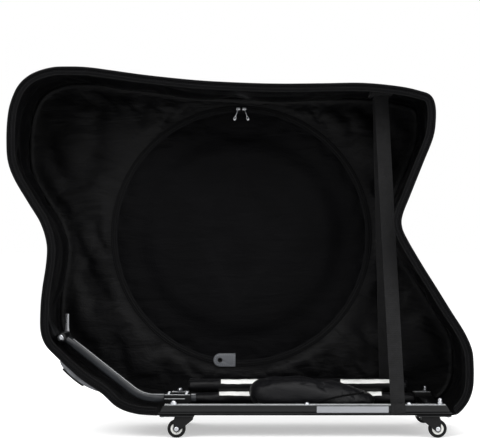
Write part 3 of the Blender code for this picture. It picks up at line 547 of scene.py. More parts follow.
def turned(name, profile, centre, axis="Z", steps=32, closed=False):
    """A profile of (radius, height) points spun about an axis through a centre.

    A closed profile makes a ring. The ends of an open one lie on the axis.
    """
    only_nothing()
    bpy.ops.mesh.primitive_circle_add(vertices=len(profile))
    piece = bpy.context.object
    piece.name = name
    for vertex, (radius, height) in zip(piece.data.vertices, profile):
        vertex.co = (radius, 0, height)
    if not closed:
        open_profile(piece, {0, len(profile) - 1})
    in_edit_mode(
        piece,
        lambda: bpy.ops.mesh.spin(steps=steps, angle=2 * math.pi, center=(0, 0, 0), axis=(0, 0, 1)),
        lambda: bpy.ops.mesh.select_all(action="SELECT"),
        weld,
        face_outwards,
    )
    if axis == "Y":
        piece.data.transform(Matrix.Rotation(-math.pi / 2, 4, "X"))
    if axis == "X":
        piece.data.transform(Matrix.Rotation(math.pi / 2, 4, "Y"))
    piece.data.transform(Matrix.Translation(centre))
    return piece


def open_profile(piece, ends):
    """Takes out the edge that joins a profile's two ends."""
    in_edit_mode(piece, lambda: bpy.ops.mesh.select_all(action="DESELECT"))
    for edge in piece.data.edges:
        edge.select = set(edge.vertices) == ends
    bpy.ops.object.mode_set(mode="EDIT")
    bpy.ops.mesh.delete(type="EDGE")
    bpy.ops.object.mode_set(mode="OBJECT")


def box_form(name, size, centre, rounding=0.0, segments=2):
    only_nothing()
    bpy.ops.mesh.primitive_cube_add(size=1, location=centre)
    piece = bpy.context.object
    piece.name = name
    piece.scale = size
    only(piece)
    bpy.ops.object.transform_apply(location=True, rotation=True, scale=True)
    if rounding:
        round_edges(piece, rounding, segments)
    return piece


def joined(name, pieces):
    """Several forms of one material as one piece."""
    bpy.ops.object.select_all(action="DESELECT")
    for piece in pieces:
        piece.select_set(True)
    bpy.context.view_layer.objects.active = pieces[0]
    if len(pieces) > 1:
        bpy.ops.object.join()
    piece = bpy.context.object
    piece.name = name
    return piece


def node_copy(name, node, width):
    """The frame's own solid as a new piece, its triangles joined and its edges rounded."""
    piece = mesh_piece(name, frame["nodes"][node].data.copy())
    piece.data.materials.clear()
    in_edit_mode(piece, weld, lambda: bpy.ops.mesh.dissolve_limited(angle_limit=math.radians(3)))
    return round_edges(piece, width)


def strewn(name, form, places):
    """Copies of one small form at many places, as one mesh. The form is used up."""
    unit = form.data
    mesh = bpy.data.meshes.new(name)
    collected = bmesh.new()
    for place in places:
        start = len(collected.verts)
        collected.from_mesh(unit)
        collected.verts.ensure_lookup_table()
        for vertex in collected.verts[start:]:
            vertex.co = place @ vertex.co
    collected.to_mesh(mesh)
    collected.free()
    bpy.data.objects.remove(form)
    return mesh_piece(name, mesh)


def placed(spot, along, up):
    """A placement whose X runs along a line and whose Z stands off the surface."""
    along = along.normalized()
    up = (up - along * up.dot(along)).normalized()
    side = up.cross(along)
    turn = Matrix((along, side, up)).transposed().to_4x4()
    return Matrix.Translation(spot) @ turn


def spaced(points, pitch, cyclic=False):
    """Even spots along a line of points, as (place, direction) pairs."""
    if cyclic:
        points = [*points, points[0]]
    steps = reaches(points)
    count = max(1, round(steps[-1] / pitch))
    stops = [(order + 0.5) * steps[-1] / count for order in range(count)]
    return [
        (points[leg].lerp(points[leg + 1], share), points[leg + 1] - points[leg])
        for leg, share in walked(steps, stops)
    ]


def toothed(name, line, size, rounding, pitch, cyclic=False):
    """Zip teeth along a line, standing up towards the open side."""
    tooth = box_form("tooth", size, (0, 0, 0), rounding, 1)
    places = [placed(spot, along, NEARWARD) for spot, along in spaced(line, pitch, cyclic)]
    dress(strewn(name, tooth, places), "coil_nylon")


def thickened(piece, thickness):
    """Cloth given its thickness to both sides, with its faces outwards."""
    modify(piece, "SOLIDIFY", thickness=thickness, offset=0)
    in_edit_mode(piece, face_outwards)
    return piece


def capped(piece):
    """A tube of cloth with its open ends filled."""
    in_edit_mode(piece, lambda: bpy.ops.mesh.fill_holes(sides=0), face_outwards)
    return piece


def stitched(name, lines, up, cyclic=False, body="bag", thread="sewing_thread"):
    """Rows of raised stitches along lines of points on a surface that faces up."""
    pitch = sizes().stitch_pitch
    form = box_form("stitch", (pitch * 0.62, 1.0 * MM, 0.8 * MM), (0, 0, 0), 0.3 * MM, 1)
    places = []
    for line in lines:
        for spot, along in spaced(line, pitch, cyclic):
            places.append(placed(spot, along, up(spot) if callable(up) else up))
    return dress(strewn(name, form, places), thread, body)


def crumpled(piece, held, slack, cap, frames, pressure=0.0, bending=0.6):
    """Runs cloth on a sheet with some spare size, held where it is sewn, and applies the result.

    held gives each vertex its hold from 0 to 1. No vertex moves further than the cap.
    """
    start = [vertex.co.copy() for vertex in piece.data.vertices]
    group = piece.vertex_groups.new(name="sewn")
    for vertex in piece.data.vertices:
        hold = held(vertex.co)
        if hold > 0:
            group.add([vertex.index], hold, "REPLACE")
    cloth = piece.modifiers.new("cloth", "CLOTH")
    for option, value in (
        ("quality", 5),
        ("mass", 0.2),
        ("tension_stiffness", 20),
        ("compression_stiffness", 20),
        ("shear_stiffness", 8),
        ("bending_stiffness", bending),
        ("vertex_group_mass", group.name),
        ("shrink_min", -slack),
        ("use_pressure", pressure > 0),
        ("uniform_pressure_force", pressure),
    ):
        setattr(cloth.settings, option, value)
    cloth.settings.effector_weights.gravity = 0
    cloth.collision_settings.use_collision = False
    cloth.point_cache.frame_end = frames
    for step in range(1, frames + 1):
        bpy.context.scene.frame_set(step)
    only(piece)
    bpy.ops.object.modifier_apply(modifier=cloth.name)
    bpy.context.scene.frame_set(1)
    for vertex, before in zip(piece.data.vertices, start):
        moved = vertex.co - before
        if moved.length > cap:
            vertex.co = before + moved * (cap / moved.length)
    piece.vertex_groups.clear()
    return piece


def surface_of(piece):
    """A piece's surface as it is now, to lay other pieces on."""
    mesh = piece.data
    return BVHTree.FromPolygons([vertex.co for vertex in mesh.vertices], [face.vertices for face in mesh.polygons])


def laid_on(surface, origins, direction=None, lift=0.0):
    """Points cast onto a surface, or moved to the nearest place on it, each lifted off it."""
    found = []
    for origin in origins:
        spot, normal = surface.ray_cast(origin, direction)[:2] if direction else (None, None)
        if spot is None:
            spot, normal = surface.find_nearest(origin)[:2]
        found.append(spot + normal * lift)
    return found


def reshaped(piece, move):
    """Moves each point of a piece to the place that a function gives for its place and normal."""
    spots = [move(vertex.co.copy(), vertex.normal.copy()) for vertex in piece.data.vertices]
    for vertex, spot in zip(piece.data.vertices, spots):
        vertex.co = spot
    return piece


def smooth_step(value, low, high):
    share = min(max((value - low) / (high - low), 0), 1)
    return share * share * (3 - 2 * share)


def smooth_line(knots, steps, cyclic=False):
    """A smooth curve through points."""
    count = len(knots)
    fine = []
    for index in range(count if cyclic else count - 1):
        if cyclic:
            before, start, end, after = (knots[(index + step) % count] for step in (-1, 0, 1, 2))
        else:
            before = knots[max(index - 1, 0)]
            start, end = knots[index], knots[index + 1]
            after = knots[min(index + 2, count - 1)]
        for step in range(steps):
            t = step / steps
            fine.append(
                0.5
                * (
                    2 * start
                    + (end - before) * t
                    + (2 * before - 5 * start + 4 * end - after) * t**2
                    + (3 * start - before - 3 * end + after) * t**3
                )
            )
    if not cyclic:
        fine.append(knots[-1])
    return fine


def joint_spot(name):
    """Where a joint of the frame turns."""
    return Vector(next(joint for joint in frame["joints"] if joint["name"] == name)["pos_m"])


def middle_of(node):
    low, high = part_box(node)
    return (low + high) / 2


def half_of(node):
    low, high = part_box(node)
    return (high - low) / 2


def corner_spots(low, high, inset, level):
    """Four places in from the corners of a plate, at one level."""
    along, across = inset
    return [
        Vector((x, y, level)) for x in (low.x + along, high.x - along) for y in (low.y + across, high.y - across)
    ]


def at_depth(points, depth):
    return [Vector((point.x, depth, point.z)) for point in points]


def off_centre(spot, centre):
    """How far apart two places are when seen from the open side."""
    return math.hypot(spot.x - centre.x, spot.z - centre.z)


def wall_ring(centre, reach, depth, count=240):
    """Even points round a circle on the side wall."""
    return [centre + Vector((reach * math.sin(turn), depth, reach * math.cos(turn))) for turn in turns(count)]


def shell_size():
    """The shell's length, its floor's level and its height above the floor."""
    low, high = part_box("side_panel")
    return high.x - low.x, low.z, high.z - low.z


def fold_at(place):
    """How deep the gusset's folds are at a place between the outline's points."""
    folds = (*RIM_FOLDS, *[0.0] * len(FLOOR_SHARES))
    index = int(place) % len(folds)
    share = smooth_step(place - int(place), 0, 1)
    return folds[index] * (1 - share) + folds[(index + 1) % len(folds)] * share


def fold_across(share):
    """How deep the folds are at a share of the gusset's width from its open side."""
    for (before, low), (after, high) in zip(FOLD_STATIONS, FOLD_STATIONS[1:]):
        if share <= after:
            return low + (high - low) * max(share - before, 0) / (after - before)
    return 0.0


def outline(count, inset=0.0, pressed=0.0):
    """Even points round the shell, clockwise from the front end of its floor, moved in by an inset.

    Where the gusset has a fold, a point is pressed in by up to as much again as it says.
    """
    length, floor, rise = shell_size()
    knots = [Vector((x * length, floor + z * rise)) for x, z in (*RIM_SHARES, *FLOOR_SHARES)]
    fine = smooth_line(knots, SMOOTHING_STEPS, cyclic=True)
    line = [Vector((point.x, 0, max(point.y, floor))) for point in fine]
    line.append(line[0])
    steps = reaches(line)
    loop = []
    folds = []
    for leg, share in walked(steps, [order * steps[-1] / count for order in range(count)]):
        loop.append(line[leg].lerp(line[leg + 1], share))
        folds.append(fold_at((leg + share) / SMOOTHING_STEPS) * pressed if pressed else 0.0)
    moved = []
    for index, point in enumerate(loop):
        along = (loop[(index + 1) % count] - loop[index - 1]).normalized()
        moved.append(point + Vector((along.z, 0, -along.x)) * (inset + folds[index]))
    return moved


def rim_line(count, inset, depth):
    """The outline without its floor stretch, at one depth."""
    loop = outline(count, inset)
    floor = shell_size()[1]
    last = max(index for index, point in enumerate(loop) if point.z > floor + inset + 2 * MM) + 1
    return at_depth(loop[: last + 1], depth)


# The shell


def pocket_centre():
    low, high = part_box("pocket_zip")
    return Vector(((low.x + high.x) / 2, low.y, (low.z + high.z) / 2)), (high.x - low.x) / 2


def shell_lines():
    """Lines of points from the near rim back along the gussets, round the corner and over the side wall."""
    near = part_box("roof_gusset")[0].y
    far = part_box("side_panel")[1].y
    corner = sizes().corner
    centre, radius = pocket_centre()
    count = round(run_length(outline(400)) / sizes().cell)
    lines = []
    gusset_steps = round((far - corner - near) / sizes().cell)
    depths = [(near + (far - corner - near) * step / gusset_steps, 0.0) for step in range(gusset_steps + 1)]
    for step in range(1, 6):
        angle = math.pi / 2 * step / 5
        depths.append((far - corner + corner * math.sin(angle), corner * (1 - math.cos(angle))))
    for depth, inset in depths:
        pressed = fold_across((depth - near) / (far - near)) * sizes().fold_depth
        lines.append(at_depth(outline(count, inset, pressed), depth))
    edge = outline(count, corner)
    middle = Vector((centre.x, 0, centre.z))
    ring = [middle + (point - middle).normalized() * (radius + 2 * MM) for point in edge]
    for step in range(1, 15):
        share = step / 14
        lines.append([a.lerp(b, share) + Vector((0, far, 0)) for a, b in zip(edge, ring)])
    for step in range(1, 7):
        share = step / 6
        lines.append([b.lerp(middle, share) + Vector((0, far, 0)) for b in ring])
    return lines


class BAG_OT_shell(bpy.types.Operator):
    """Lofts the shell as one bag of cloth, folds it, and sews its seams"""

    bl_idname = "bag.shell"
    bl_label = "Shell and lining"

    def execute(self, context):
        lines = shell_lines()
        shell = loft("padded_shell", lines, closed_round=True)
        floor = shell_size()[1]
        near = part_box("roof_gusset")[0].y
        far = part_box("side_panel")[1].y
        centre, radius = pocket_centre()
        fabric = sizes()
        edge_spots = [Vector((point.x, point.z)) for point in outline(160, fabric.corner)]

        def freedom(point):
            """0 where the cloth is sewn or lies on the floor board, 1 in the open."""
            above = smooth_step(point.z, floor + 25 * MM, floor + 90 * MM)
            behind_rim = smooth_step(point.y, near + 6 * MM, near + 50 * MM)
            if point.y > far - 2 * MM:
                edge = min((Vector((point.x, point.z)) - spot).length for spot in edge_spots)
                to_corner = smooth_step(edge, 4 * MM, 30 * MM)
                off_ring = smooth_step(off_centre(point, centre) - radius, 2 * MM, 30 * MM)
            else:
                to_corner = smooth_step(abs(point.y - (far - fabric.corner / 2)), 8 * MM, 35 * MM)
                off_ring = 1.0
            return above * behind_rim * to_corner * off_ring

        free = [freedom(vertex.co) for vertex in shell.data.vertices]
        shares = iter(free)

        def rippled(spot, normal):
            broad = noise.noise(Vector((spot.x * 5, spot.y * 10, spot.z * 5)))
            slanted = noise.noise(Vector((spot.x * 15 + spot.z * 8, spot.y * 16, spot.z * 4 - spot.x * 3 + 3)))
            return spot - normal * (broad + slanted * 0.8 + 0.2) * next(shares) * fabric.ripple_depth

        reshaped(shell, rippled)
        held = dict(zip((tuple(vertex.co) for vertex in shell.data.vertices), free))
        crumpled(
            shell,
            lambda point: 1 - 0.995 * held[tuple(point)],
            fabric.slack,
            fabric.fold_limit,
            fabric.frames,
            bending=0.8,
        )
        for cloth in ("oxford_cloth", "nylon_lining"):
            shell.data.materials.append(finish(cloth))
        modify(shell, "SOLIDIFY", thickness=4 * MM, offset=-1, material_offset=1, material_offset_rim=1)
        dress(
            shell,
            "nylon_lining",
            stands_for=("side_panel", "front_gusset", "roof_gusset", "rear_gusset", "base_panel"),
            angle=60,
        )
        count = len(lines[0])
        seam = at_depth(outline(count, 4.6 * MM + fabric.corner * 0.2), far - fabric.corner * 0.6)
        dress(tube("wall_seam_binding", seam, 2.2 * MM, cyclic=True), "binding_tape")
        outside = at_depth(outline(count, fabric.corner * 0.29), far - fabric.corner * 0.3)
        dress(tube("outer_edge_piping", outside, 2.6 * MM, cyclic=True), "binding_tape")
        surface = surface_of(shell)
        rows = []
        gusset_end = far - fabric.corner
        for depth in (near + 21 * MM, near + 25 * MM, gusset_end - 6 * MM, gusset_end - 10 * MM):
            rows.append(laid_on(surface, rim_line(count, -30 * MM, depth)))
        stitched("gusset_seams", rows, lambda spot: Vector((spot.x, 0, spot.z - centre.z)))
        rows = []
        for reach in (radius + 10 * MM, radius - 2 * MM):
            rows.append(laid_on(surface, wall_ring(centre, reach, 40 * MM)))
        stitched("outer_pocket_seam", rows, Vector((0, 1, 0)), cyclic=True)
        return {"FINISHED"}


class BAG_OT_rim(bpy.types.Operator):
    """Sews the piping and the zip's half round the open side"""

    bl_idname = "bag.rim"
    bl_label = "Rim and zip half"

    def execute(self, context):
        count = 460
        low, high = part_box("rim_piping")
        radius = (high.y - low.y) / 2
        piping = tube("rim_piping_cord", rim_line(count, radius, low.y + radius), radius)
        dress(piping, "binding_tape", stands_for=("rim_piping",))
        tape_low, tape_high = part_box("rim_zip_tape")
        thickness = tape_high.y - tape_low.y
        inner = 4.3 * MM
        width = 14 * MM
        rows = []
        for share in (0.0, 0.15, 0.4, 0.7, 1.0):
            depth = tape_high.y - 2 * MM * math.sin(math.pi * share)
            rows.append(rim_line(count, inner + width * share, depth))
        shortest = min(len(row) for row in rows)
        tape = loft("rim_zip_tape_cloth", [row[:shortest] for row in rows])
        thickened(tape, thickness)
        dress(tape, "binding_tape", stands_for=("rim_zip_tape",))
        teeth_line = rim_line(count, inner + width + 0.8 * MM, tape_high.y - thickness / 2)
        toothed("rim_zip_teeth", teeth_line, (2.3 * MM, 3.6 * MM, 3.0 * MM), 0.5 * MM, sizes().tooth_pitch)
        face = tape_low.y - 1.6 * MM
        rows = [rim_line(count, inner + width * share, face) for share in (0.3, 0.55)]
        stitched("rim_tape_stitches", rows, NEARWARD)
        return {"FINISHED"}


def away_from(spot, middle, reach, over):
    """0 within a reach of a place on the wall, 1 beyond it."""
    return smooth_step(off_centre(spot, middle), reach, reach + over)


class BAG_OT_pocket(bpy.types.Operator):
    """Makes the wheel pocket's panel and its round zip"""

    bl_idname = "bag.pocket"
    bl_label = "Wheel pocket"

    def execute(self, context):
        low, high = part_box("wheel_pocket_panel")
        centre = Vector(((low.x + high.x) / 2, 0, (low.z + high.z) / 2))
        radius = (high.x - low.x) / 2
        tab = middle_of("pocket_tab")
        pulls = (middle_of("pocket_pull_front") + middle_of("pocket_pull_rear")) / 2

        def give(spot):
            """How far the cloth may stand out: it lies flat under the tab and the pulls."""
            return away_from(spot, tab, 36 * MM, 40 * MM) * away_from(spot, pulls, 48 * MM, 40 * MM)

        rings = 34
        count = 260
        lines = []
        for ring in range(rings + 1):
            reach = radius * (1 - ring / rings)
            puff = 7 * MM * smooth_step(ring / rings, 0.0, 0.35)
            line = []
            for turn, spot in zip(turns(count), wall_ring(centre, reach, 0, count)):
                pleat = 2.4 * MM * math.sin(turn * 31 + 3 * math.sin(turn * 3)) * math.exp(-(((ring - 3) / 3.0) ** 2))
                free = give(spot)
                spot.y = low.y + 1.0 * MM + (pleat * free if 0 < ring < rings else 0) - puff * free
                line.append(spot)
            lines.append(line)
        panel = loft("wheel_pocket_cloth", lines, closed_round=True)
        crumpled(
            panel,
            lambda spot: 1.0 if off_centre(spot, centre) > radius - 4 * MM else 0.0,
            sizes().slack * 0.5,
            6 * MM,
            sizes().frames,
            bending=0.4,
        )
        for vertex in panel.data.vertices:
            room = (2.6 + 9.4 * smooth_step(radius - off_centre(vertex.co, centre), 55 * MM, 110 * MM)) * MM
            front = low.y + 1.0 * MM - room * give(vertex.co)
            vertex.co.y = min(max(vertex.co.y, front), high.y - 1.4 * MM)
        in_edit_mode(panel, face_outwards)
        modify(panel, "SOLIDIFY", thickness=1.2 * MM, offset=0)
        dress(panel, "pocket_nylon", stands_for=("wheel_pocket_panel",), angle=70)

        outer = pocket_centre()[1]
        middle = (outer + radius) / 2
        tape = [(outer, 0.6 * MM), (outer, -1.4 * MM), (outer - 1 * MM, -1.9 * MM), (middle + 3.2 * MM, -1.6 * MM)]
        tape += [(middle, -2.0 * MM), (middle - 3.2 * MM, -1.6 * MM), (radius - 1 * MM, -1.9 * MM)]
        tape += [(radius - 2 * MM, -1.4 * MM), (radius - 2 * MM, 0.6 * MM)]
        back = centre + Vector((0, high.y - 0.9 * MM, 0))
        tape = turned("pocket_zip_tape", tape, back, "Y", 160, closed=True)
        dress(tape, "binding_tape", stands_for=("pocket_zip",))
        ring = wall_ring(centre, middle, low.y - 0.4 * MM)
        pitch = sizes().tooth_pitch * 0.75
        toothed("pocket_zip_teeth", ring, (2.1 * MM, 5.4 * MM, 2.0 * MM), 0.6 * MM, pitch, cyclic=True)
        rows = [wall_ring(centre, reach, high.y - 2.9 * MM) for reach in (radius + 2.5 * MM, outer - 2.5 * MM)]
        stitched("pocket_zip_stitches", rows, NEARWARD, cyclic=True)
        return {"FINISHED"}


class BAG_OT_pulls(bpy.types.Operator):
    """Makes the two sliders, their pulls and the stitched tab of the wheel pocket"""

    bl_idname = "bag.pulls"
    bl_label = "Pocket sliders and tab"

    PULL_SIDE = in_mm(
        (-2.0, 1.6), (1.2, 2.4), (4, 1.8), (7, 0.9), (20, 0.9), (23, 1.6), (26, 3.4), (31, 3.4), (33.6, 1.8)
    )
    ARCH = in_mm((-3.2, 0), (-2.6, 1.7), (0, 2.3), (2.6, 1.7), (3.2, 0))

    def execute(self, context):
        centre = pocket_centre()[0]
        for side in ("front", "rear"):
            node = "pocket_slider_" + side
            spot = middle_of(node)
            outward = spot - Vector((centre.x, spot.y, centre.z))
            body = box_form("slider_body", (10 * MM, 8.6 * MM, 2.6 * MM), (0, 0, -0.6 * MM), 0.8 * MM, 2)
            for vertex in body.data.vertices:
                if vertex.co.x > 3 * MM:
                    vertex.co.y *= 0.72
            arch = smooth_line([Vector((x, 0, z)) for x, z in self.ARCH], 4)
            slider = joined("pocket_slider_metal_" + side, [body, tube("slider_bridge", arch, 0.75 * MM)])
            slider.data.transform(placed(spot, outward.cross(NEARWARD), NEARWARD))
            dress(slider, "plated_steel", node + "_body", (node,))

            node = "pocket_pull_" + side
            hinge = joint_spot(node + "_swing")
            eye = oval(1.2 * MM, 0, 1.3 * MM, 1.2 * MM)
            slot_hole = oval(26.6 * MM, 0, 2.6 * MM, 2.1 * MM)
            loops = [mirrored(self.PULL_SIDE), eye, slot_hole]
            pull = flat_shape("pocket_pull_metal_" + side, loops, 1.5 * MM, Matrix.Identity(4))
            round_edges(pull, 0.35 * MM, 2)
            pull.data.transform(placed(hinge, middle_of(node) - hinge, NEARWARD))
            dress(pull, "plated_steel", node + "_body", (node,))
        self.add_tab()
        return {"FINISHED"}

    def add_tab(self):
        low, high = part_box("pocket_tab")
        half = (high.z - low.z) / 2
        middle = (low.z + high.z) / 2
        rounding = low.x + half

        def border(inset):
            """The tab's outline: a half round end and two straight sides."""
            reach = half - inset
            arc = [(rounding - reach * math.sin(a), middle + reach * math.cos(a)) for a in turns(24, math.pi)]
            return [(high.x - inset, middle + reach), *arc, (high.x - inset, middle - reach)]

        eye = oval(rounding, middle, 4.4 * MM, 4.4 * MM, 20)
        place = Matrix.Translation((0, (low.y + high.y) / 2, 0))
        tab = flat_shape("pocket_tab_cloth", [border(0), eye], high.y - low.y, place @ UPRIGHT)
        round_edges(tab, 0.7 * MM, 2)
        dress(tab, "coated_cloth", "pocket_tab_body", ("pocket_tab",))
        face = low.y - 0.2 * MM
        line = [Vector((x, face, z)) for x, z in border(4 * MM)]
        stitched("pocket_tab_stitches", [line], NEARWARD, True, "pocket_tab_body", "grey_thread")
        profile = in_mm((4, 1.6), (6.4, 1.6), (7.2, 0.9), (6.6, 0), (4.6, -0.6), (3.4, 0.2))
        eyelet = turned("pocket_tab_eyelet", profile, (rounding, face - 0.1 * MM, middle), "Y", closed=True)
        dress(eyelet, "black_nylon", "pocket_tab_body")


# Rails


class BAG_OT_rails(bpy.types.Operator):
    """Makes the two floor rails, the blank plate and the nuts and bolts on them"""

    bl_idname = "bag.rails"
    bl_label = "Rails and fasteners"

    def execute(self, context):
        slant = 12 * MM
        lip = 3.2 * MM
        notch_low, notch_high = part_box("strap_loop")
        for node in ("near_rail", "far_rail"):
            low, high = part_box(node)
            width = high.y - low.y
            across = (low.y + high.y) / 2
            under = [(low.x + 1 * MM, low.z + lip + 0.5 * MM), (high.x - 1 * MM, low.z + lip + 0.5 * MM)]
            top = [(high.x - slant, high.z), (low.x + slant, high.z)]
            bar = flat_shape("bar", [under + top], width - 0.4 * MM, UPRIGHT)
            round_edges(bar, 3.0 * MM, 4)
            strip = [(low.x - 2 * MM, low.z), (low.x - 2 * MM, low.z + lip * 0.7), (low.x + 1 * MM, low.z + lip)]
            strip += [(high.x - 1 * MM, low.z + lip), (high.x + 2 * MM, low.z + lip * 0.7), (high.x + 2 * MM, low.z)]
            if node == "near_rail":
                room = 0.6 * MM
                strip += [
                    (notch_high.x + room, low.z), (notch_high.x + room, low.z + lip - 0.4 * MM),
                    (notch_low.x - room, low.z + lip - 0.4 * MM), (notch_low.x - room, low.z),
                ]
            flange = flat_shape("flange", [strip], width, UPRIGHT)
            round_edges(flange, 0.5 * MM, 2)
            rail = joined(node + "_bar", [bar, flange])
            rail.data.transform(Matrix.Translation((0, across, 0)))
            dress(rail, "powder_coat", stands_for=(node,))
            # A light strip along each rail's top: a painted highlight where the top edge catches the light.
            size = (high.x - low.x - 2 * slant - 4 * MM, width - 1.6 * MM, 0.9 * MM)
            edge = box_form(node + "_top_edge", size, ((low.x + high.x) / 2, across, high.z - 0.05 * MM), 0.3 * MM, 2)
            dress(edge, "bare_edge")
        for node in ("front_cross_bar", "rear_cross_bar"):
            bar = node_copy(node + "_plate", node, 0.6 * MM)
            dress(bar, "powder_coat", stands_for=(node,))
        low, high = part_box("rail_plate")
        plate = box_form("rail_plate_metal", high - low, (low + high) / 2, 0.5 * MM, 3)
        dress(plate, "anodised_plate", stands_for=("rail_plate",))
        self.add_fasteners()
        return {"FINISHED"}

    # Profiles from the top's middle outwards, in shares of a fastener's radius and height
    BOLT_HEAD = ((0, 1), (0.42, 0.98), (0.78, 0.82), (0.97, 0.5), (1, 0.22), (1.28, 0.2), (1.28, 0), (0, 0))
    CAP_DOME = ((0, 1), (0.35, 0.97), (0.62, 0.84), (0.78, 0.64), (0.8, 0.42), (0, 0.42))
    STUD = ((0, 1), (0.45, 1), (0.72, 0.93), (0.8, 0.86), (0.8, 0.4), (0, 0.4))

    def add_fasteners(self):
        for node in ("rail_bolt_front", "rail_bolt_rear"):
            radius, height, spot = self.seat(node)
            head = turned("head", scaled(self.BOLT_HEAD, radius, height), spot)
            dress(head, "plated_steel", stands_for=(node,)).name = node + "_head"
        for side in ("near", "far"):
            for kind, width, thickness, top, washer in (
                ("_cap_nut", 1.02, 0.5, self.CAP_DOME, 1.35),
                ("_tall_nut", 1.05, 0.42, self.STUD, 1.5),
            ):
                node = side + kind
                radius, height, spot = self.seat(node)
                forms = [
                    self.hexagon(radius * width, height * thickness, spot),
                    turned("top", scaled(top, radius, height), spot),
                    self.washer(radius * washer, spot),
                ]
                dress(joined(node + "_metal", forms), "plated_steel", stands_for=(node,))

    def seat(self, node):
        """A fastener's radius and height, and the middle of its foot."""
        low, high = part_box(node)
        return (high.x - low.x) / 2, high.z - low.z, Vector(((low.x + high.x) / 2, (low.y + high.y) / 2, low.z))

    def hexagon(self, radius, height, spot):
        only_nothing()
        bpy.ops.mesh.primitive_cylinder_add(vertices=6, radius=radius, depth=height)
        nut = bpy.context.object
        nut.data.transform(Matrix.Translation(spot + Vector((0, 0, height / 2))))
        return round_edges(nut, radius * 0.1, 2)

    def washer(self, radius, spot):
        profile = [(0, 1.2 * MM), (radius - 0.3 * MM, 1.2 * MM), (radius, 0.9 * MM), (radius, 0), (0, 0)]
        return turned("washer", profile, spot)


# Casters


class BAG_OT_casters(bpy.types.Operator):
    """Makes the four swivel casters"""

    bl_idname = "bag.casters"
    bl_label = "Casters"

    def execute(self, context):
        for end in ("front", "rear"):
            for side in ("near", "far"):
                self.add_caster(end + "_" + side)
        return {"FINISHED"}

    RACE = in_mm((0, 0.2), (12.5, 0.2), (13, -0.6), (12.4, -2.6), (11, -3.4), (0, -3.4))
    SCREW_RADIUS = 4.8 * MM
    SCREW = in_mm((0, 0), (4.5, 0), (4.4, -0.9), (3.2, -2.0), (1.6, -2.3), (1.3, -1.2), (0, -1.2))

    def add_caster(self, label):
        wheel = label + "_wheel"
        swivel = label + "_swivel"
        node = label + "_caster_"
        spot = middle_of(node + "tyre")
        radius = half_of(node + "tyre").z
        half = half_of(node + "tyre").y
        bore = half_of(node + "hub").z
        inner = bore * 0.56
        pin = 3.2 * MM

        def spun(part, profile, steps=64):
            """A ring round the axle, from its outer half in shares of the wheel's half width."""
            return turned(label + part, scaled(mirrored(profile), 1, half), spot, "Y", steps, closed=True)

        tread = [(0.8, 1.0), (0.9, 0.93), (0.965, 0.78), (0.995, 0.5), (1, 0.16), (0.975, 0.1)]
        tyre = spun("_tyre_rubber", [(bore, 1.0), *scaled(tread, radius, 1)])
        dress(tyre, "tread_rubber", wheel, (node + "tyre",))
        core = [(inner, 0.62), (inner * 1.1, 0.94), (bore * 0.7, 1.0), (bore * 0.93, 0.98), (bore, 0.9)]
        dress(spun("_wheel_core", core), "wheel_nylon", wheel, (node + "hub",))
        disc = [(pin, 0.8), (inner * 0.6, 0.78), (inner * 0.92, 0.66), (inner * 1.04, 0.5)]
        dress(spun("_wheel_disc", disc, 48), "black_nylon", wheel)

        reach = half_of(node + "axle").y
        head = half_of(node + "axle").z
        cheek = reach - 2.2 * MM
        shape = [(0, reach), (head * 0.45, reach * 0.998), (head * 0.85, reach - 0.5 * MM), (head, reach - 1.1 * MM)]
        shape += [(head, cheek), (pin - 0.4 * MM, cheek)]
        axle = turned(label + "_axle_metal", mirrored(shape), spot, "Y")
        dress(axle, "plated_steel", swivel, (node + "axle",))

        def slimmer(point, normal):
            """Draws the fork's ends in round the axle, so that the wheel's core shows."""
            out = Vector((point.x - spot.x, 0, point.z - spot.z))
            return point - out * 0.24 * (1 - smooth_step(out.length, 9 * MM, 19 * MM))

        fork = reshaped(node_copy(label + "_fork_housing", node + "fork", 0.9 * MM), slimmer)
        dress(fork, "black_nylon", swivel, (node + "fork",))
        low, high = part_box(node + "plate")
        turn = joint_spot(label + "_swivel_turn")
        race = turned(label + "_swivel_race", self.RACE, Vector((turn.x, turn.y, low.z)), steps=48)
        dress(race, "plated_steel", swivel)
        place = Matrix.Translation((0, 0, (low.z + high.z) / 2))
        plate = flat_shape("plate", [self.rounded(low, high, 5 * MM)], high.z - low.z, place)
        round_edges(plate, 0.5 * MM, 2)
        dress(plate, "powder_coat", "bag", (node + "plate",)).name = label + "_mount_plate"

        def from_turn(place):
            return math.hypot(place.x - turn.x, place.y - turn.y)

        # A screw is left off where the fork's top would turn into it.
        sweep = max(from_turn(vertex.co) for vertex in fork.data.vertices if vertex.co.z > low.z - 3 * MM)
        places = [
            place for place in corner_spots(low, high, (7 * MM, 7 * MM), low.z)
            if from_turn(place) > sweep + self.SCREW_RADIUS
        ]
        screws = [turned("screw", self.SCREW, place, steps=20) for place in places]
        dress(joined(label + "_plate_screws", screws), "plated_steel")

    def rounded(self, low, high, radius):
        """A rectangle's outline with rounded corners."""
        points = []
        for x, y, start in (
            (high.x - radius, high.y - radius, 0), (low.x + radius, high.y - radius, 1),
            (low.x + radius, low.y + radius, 2), (high.x - radius, low.y + radius, 3),
        ):
            for angle in turns(5, math.pi / 2):
                angle += math.pi / 2 * start
                points.append((x + radius * math.cos(angle), y + radius * math.sin(angle)))
        return points


# Fork support


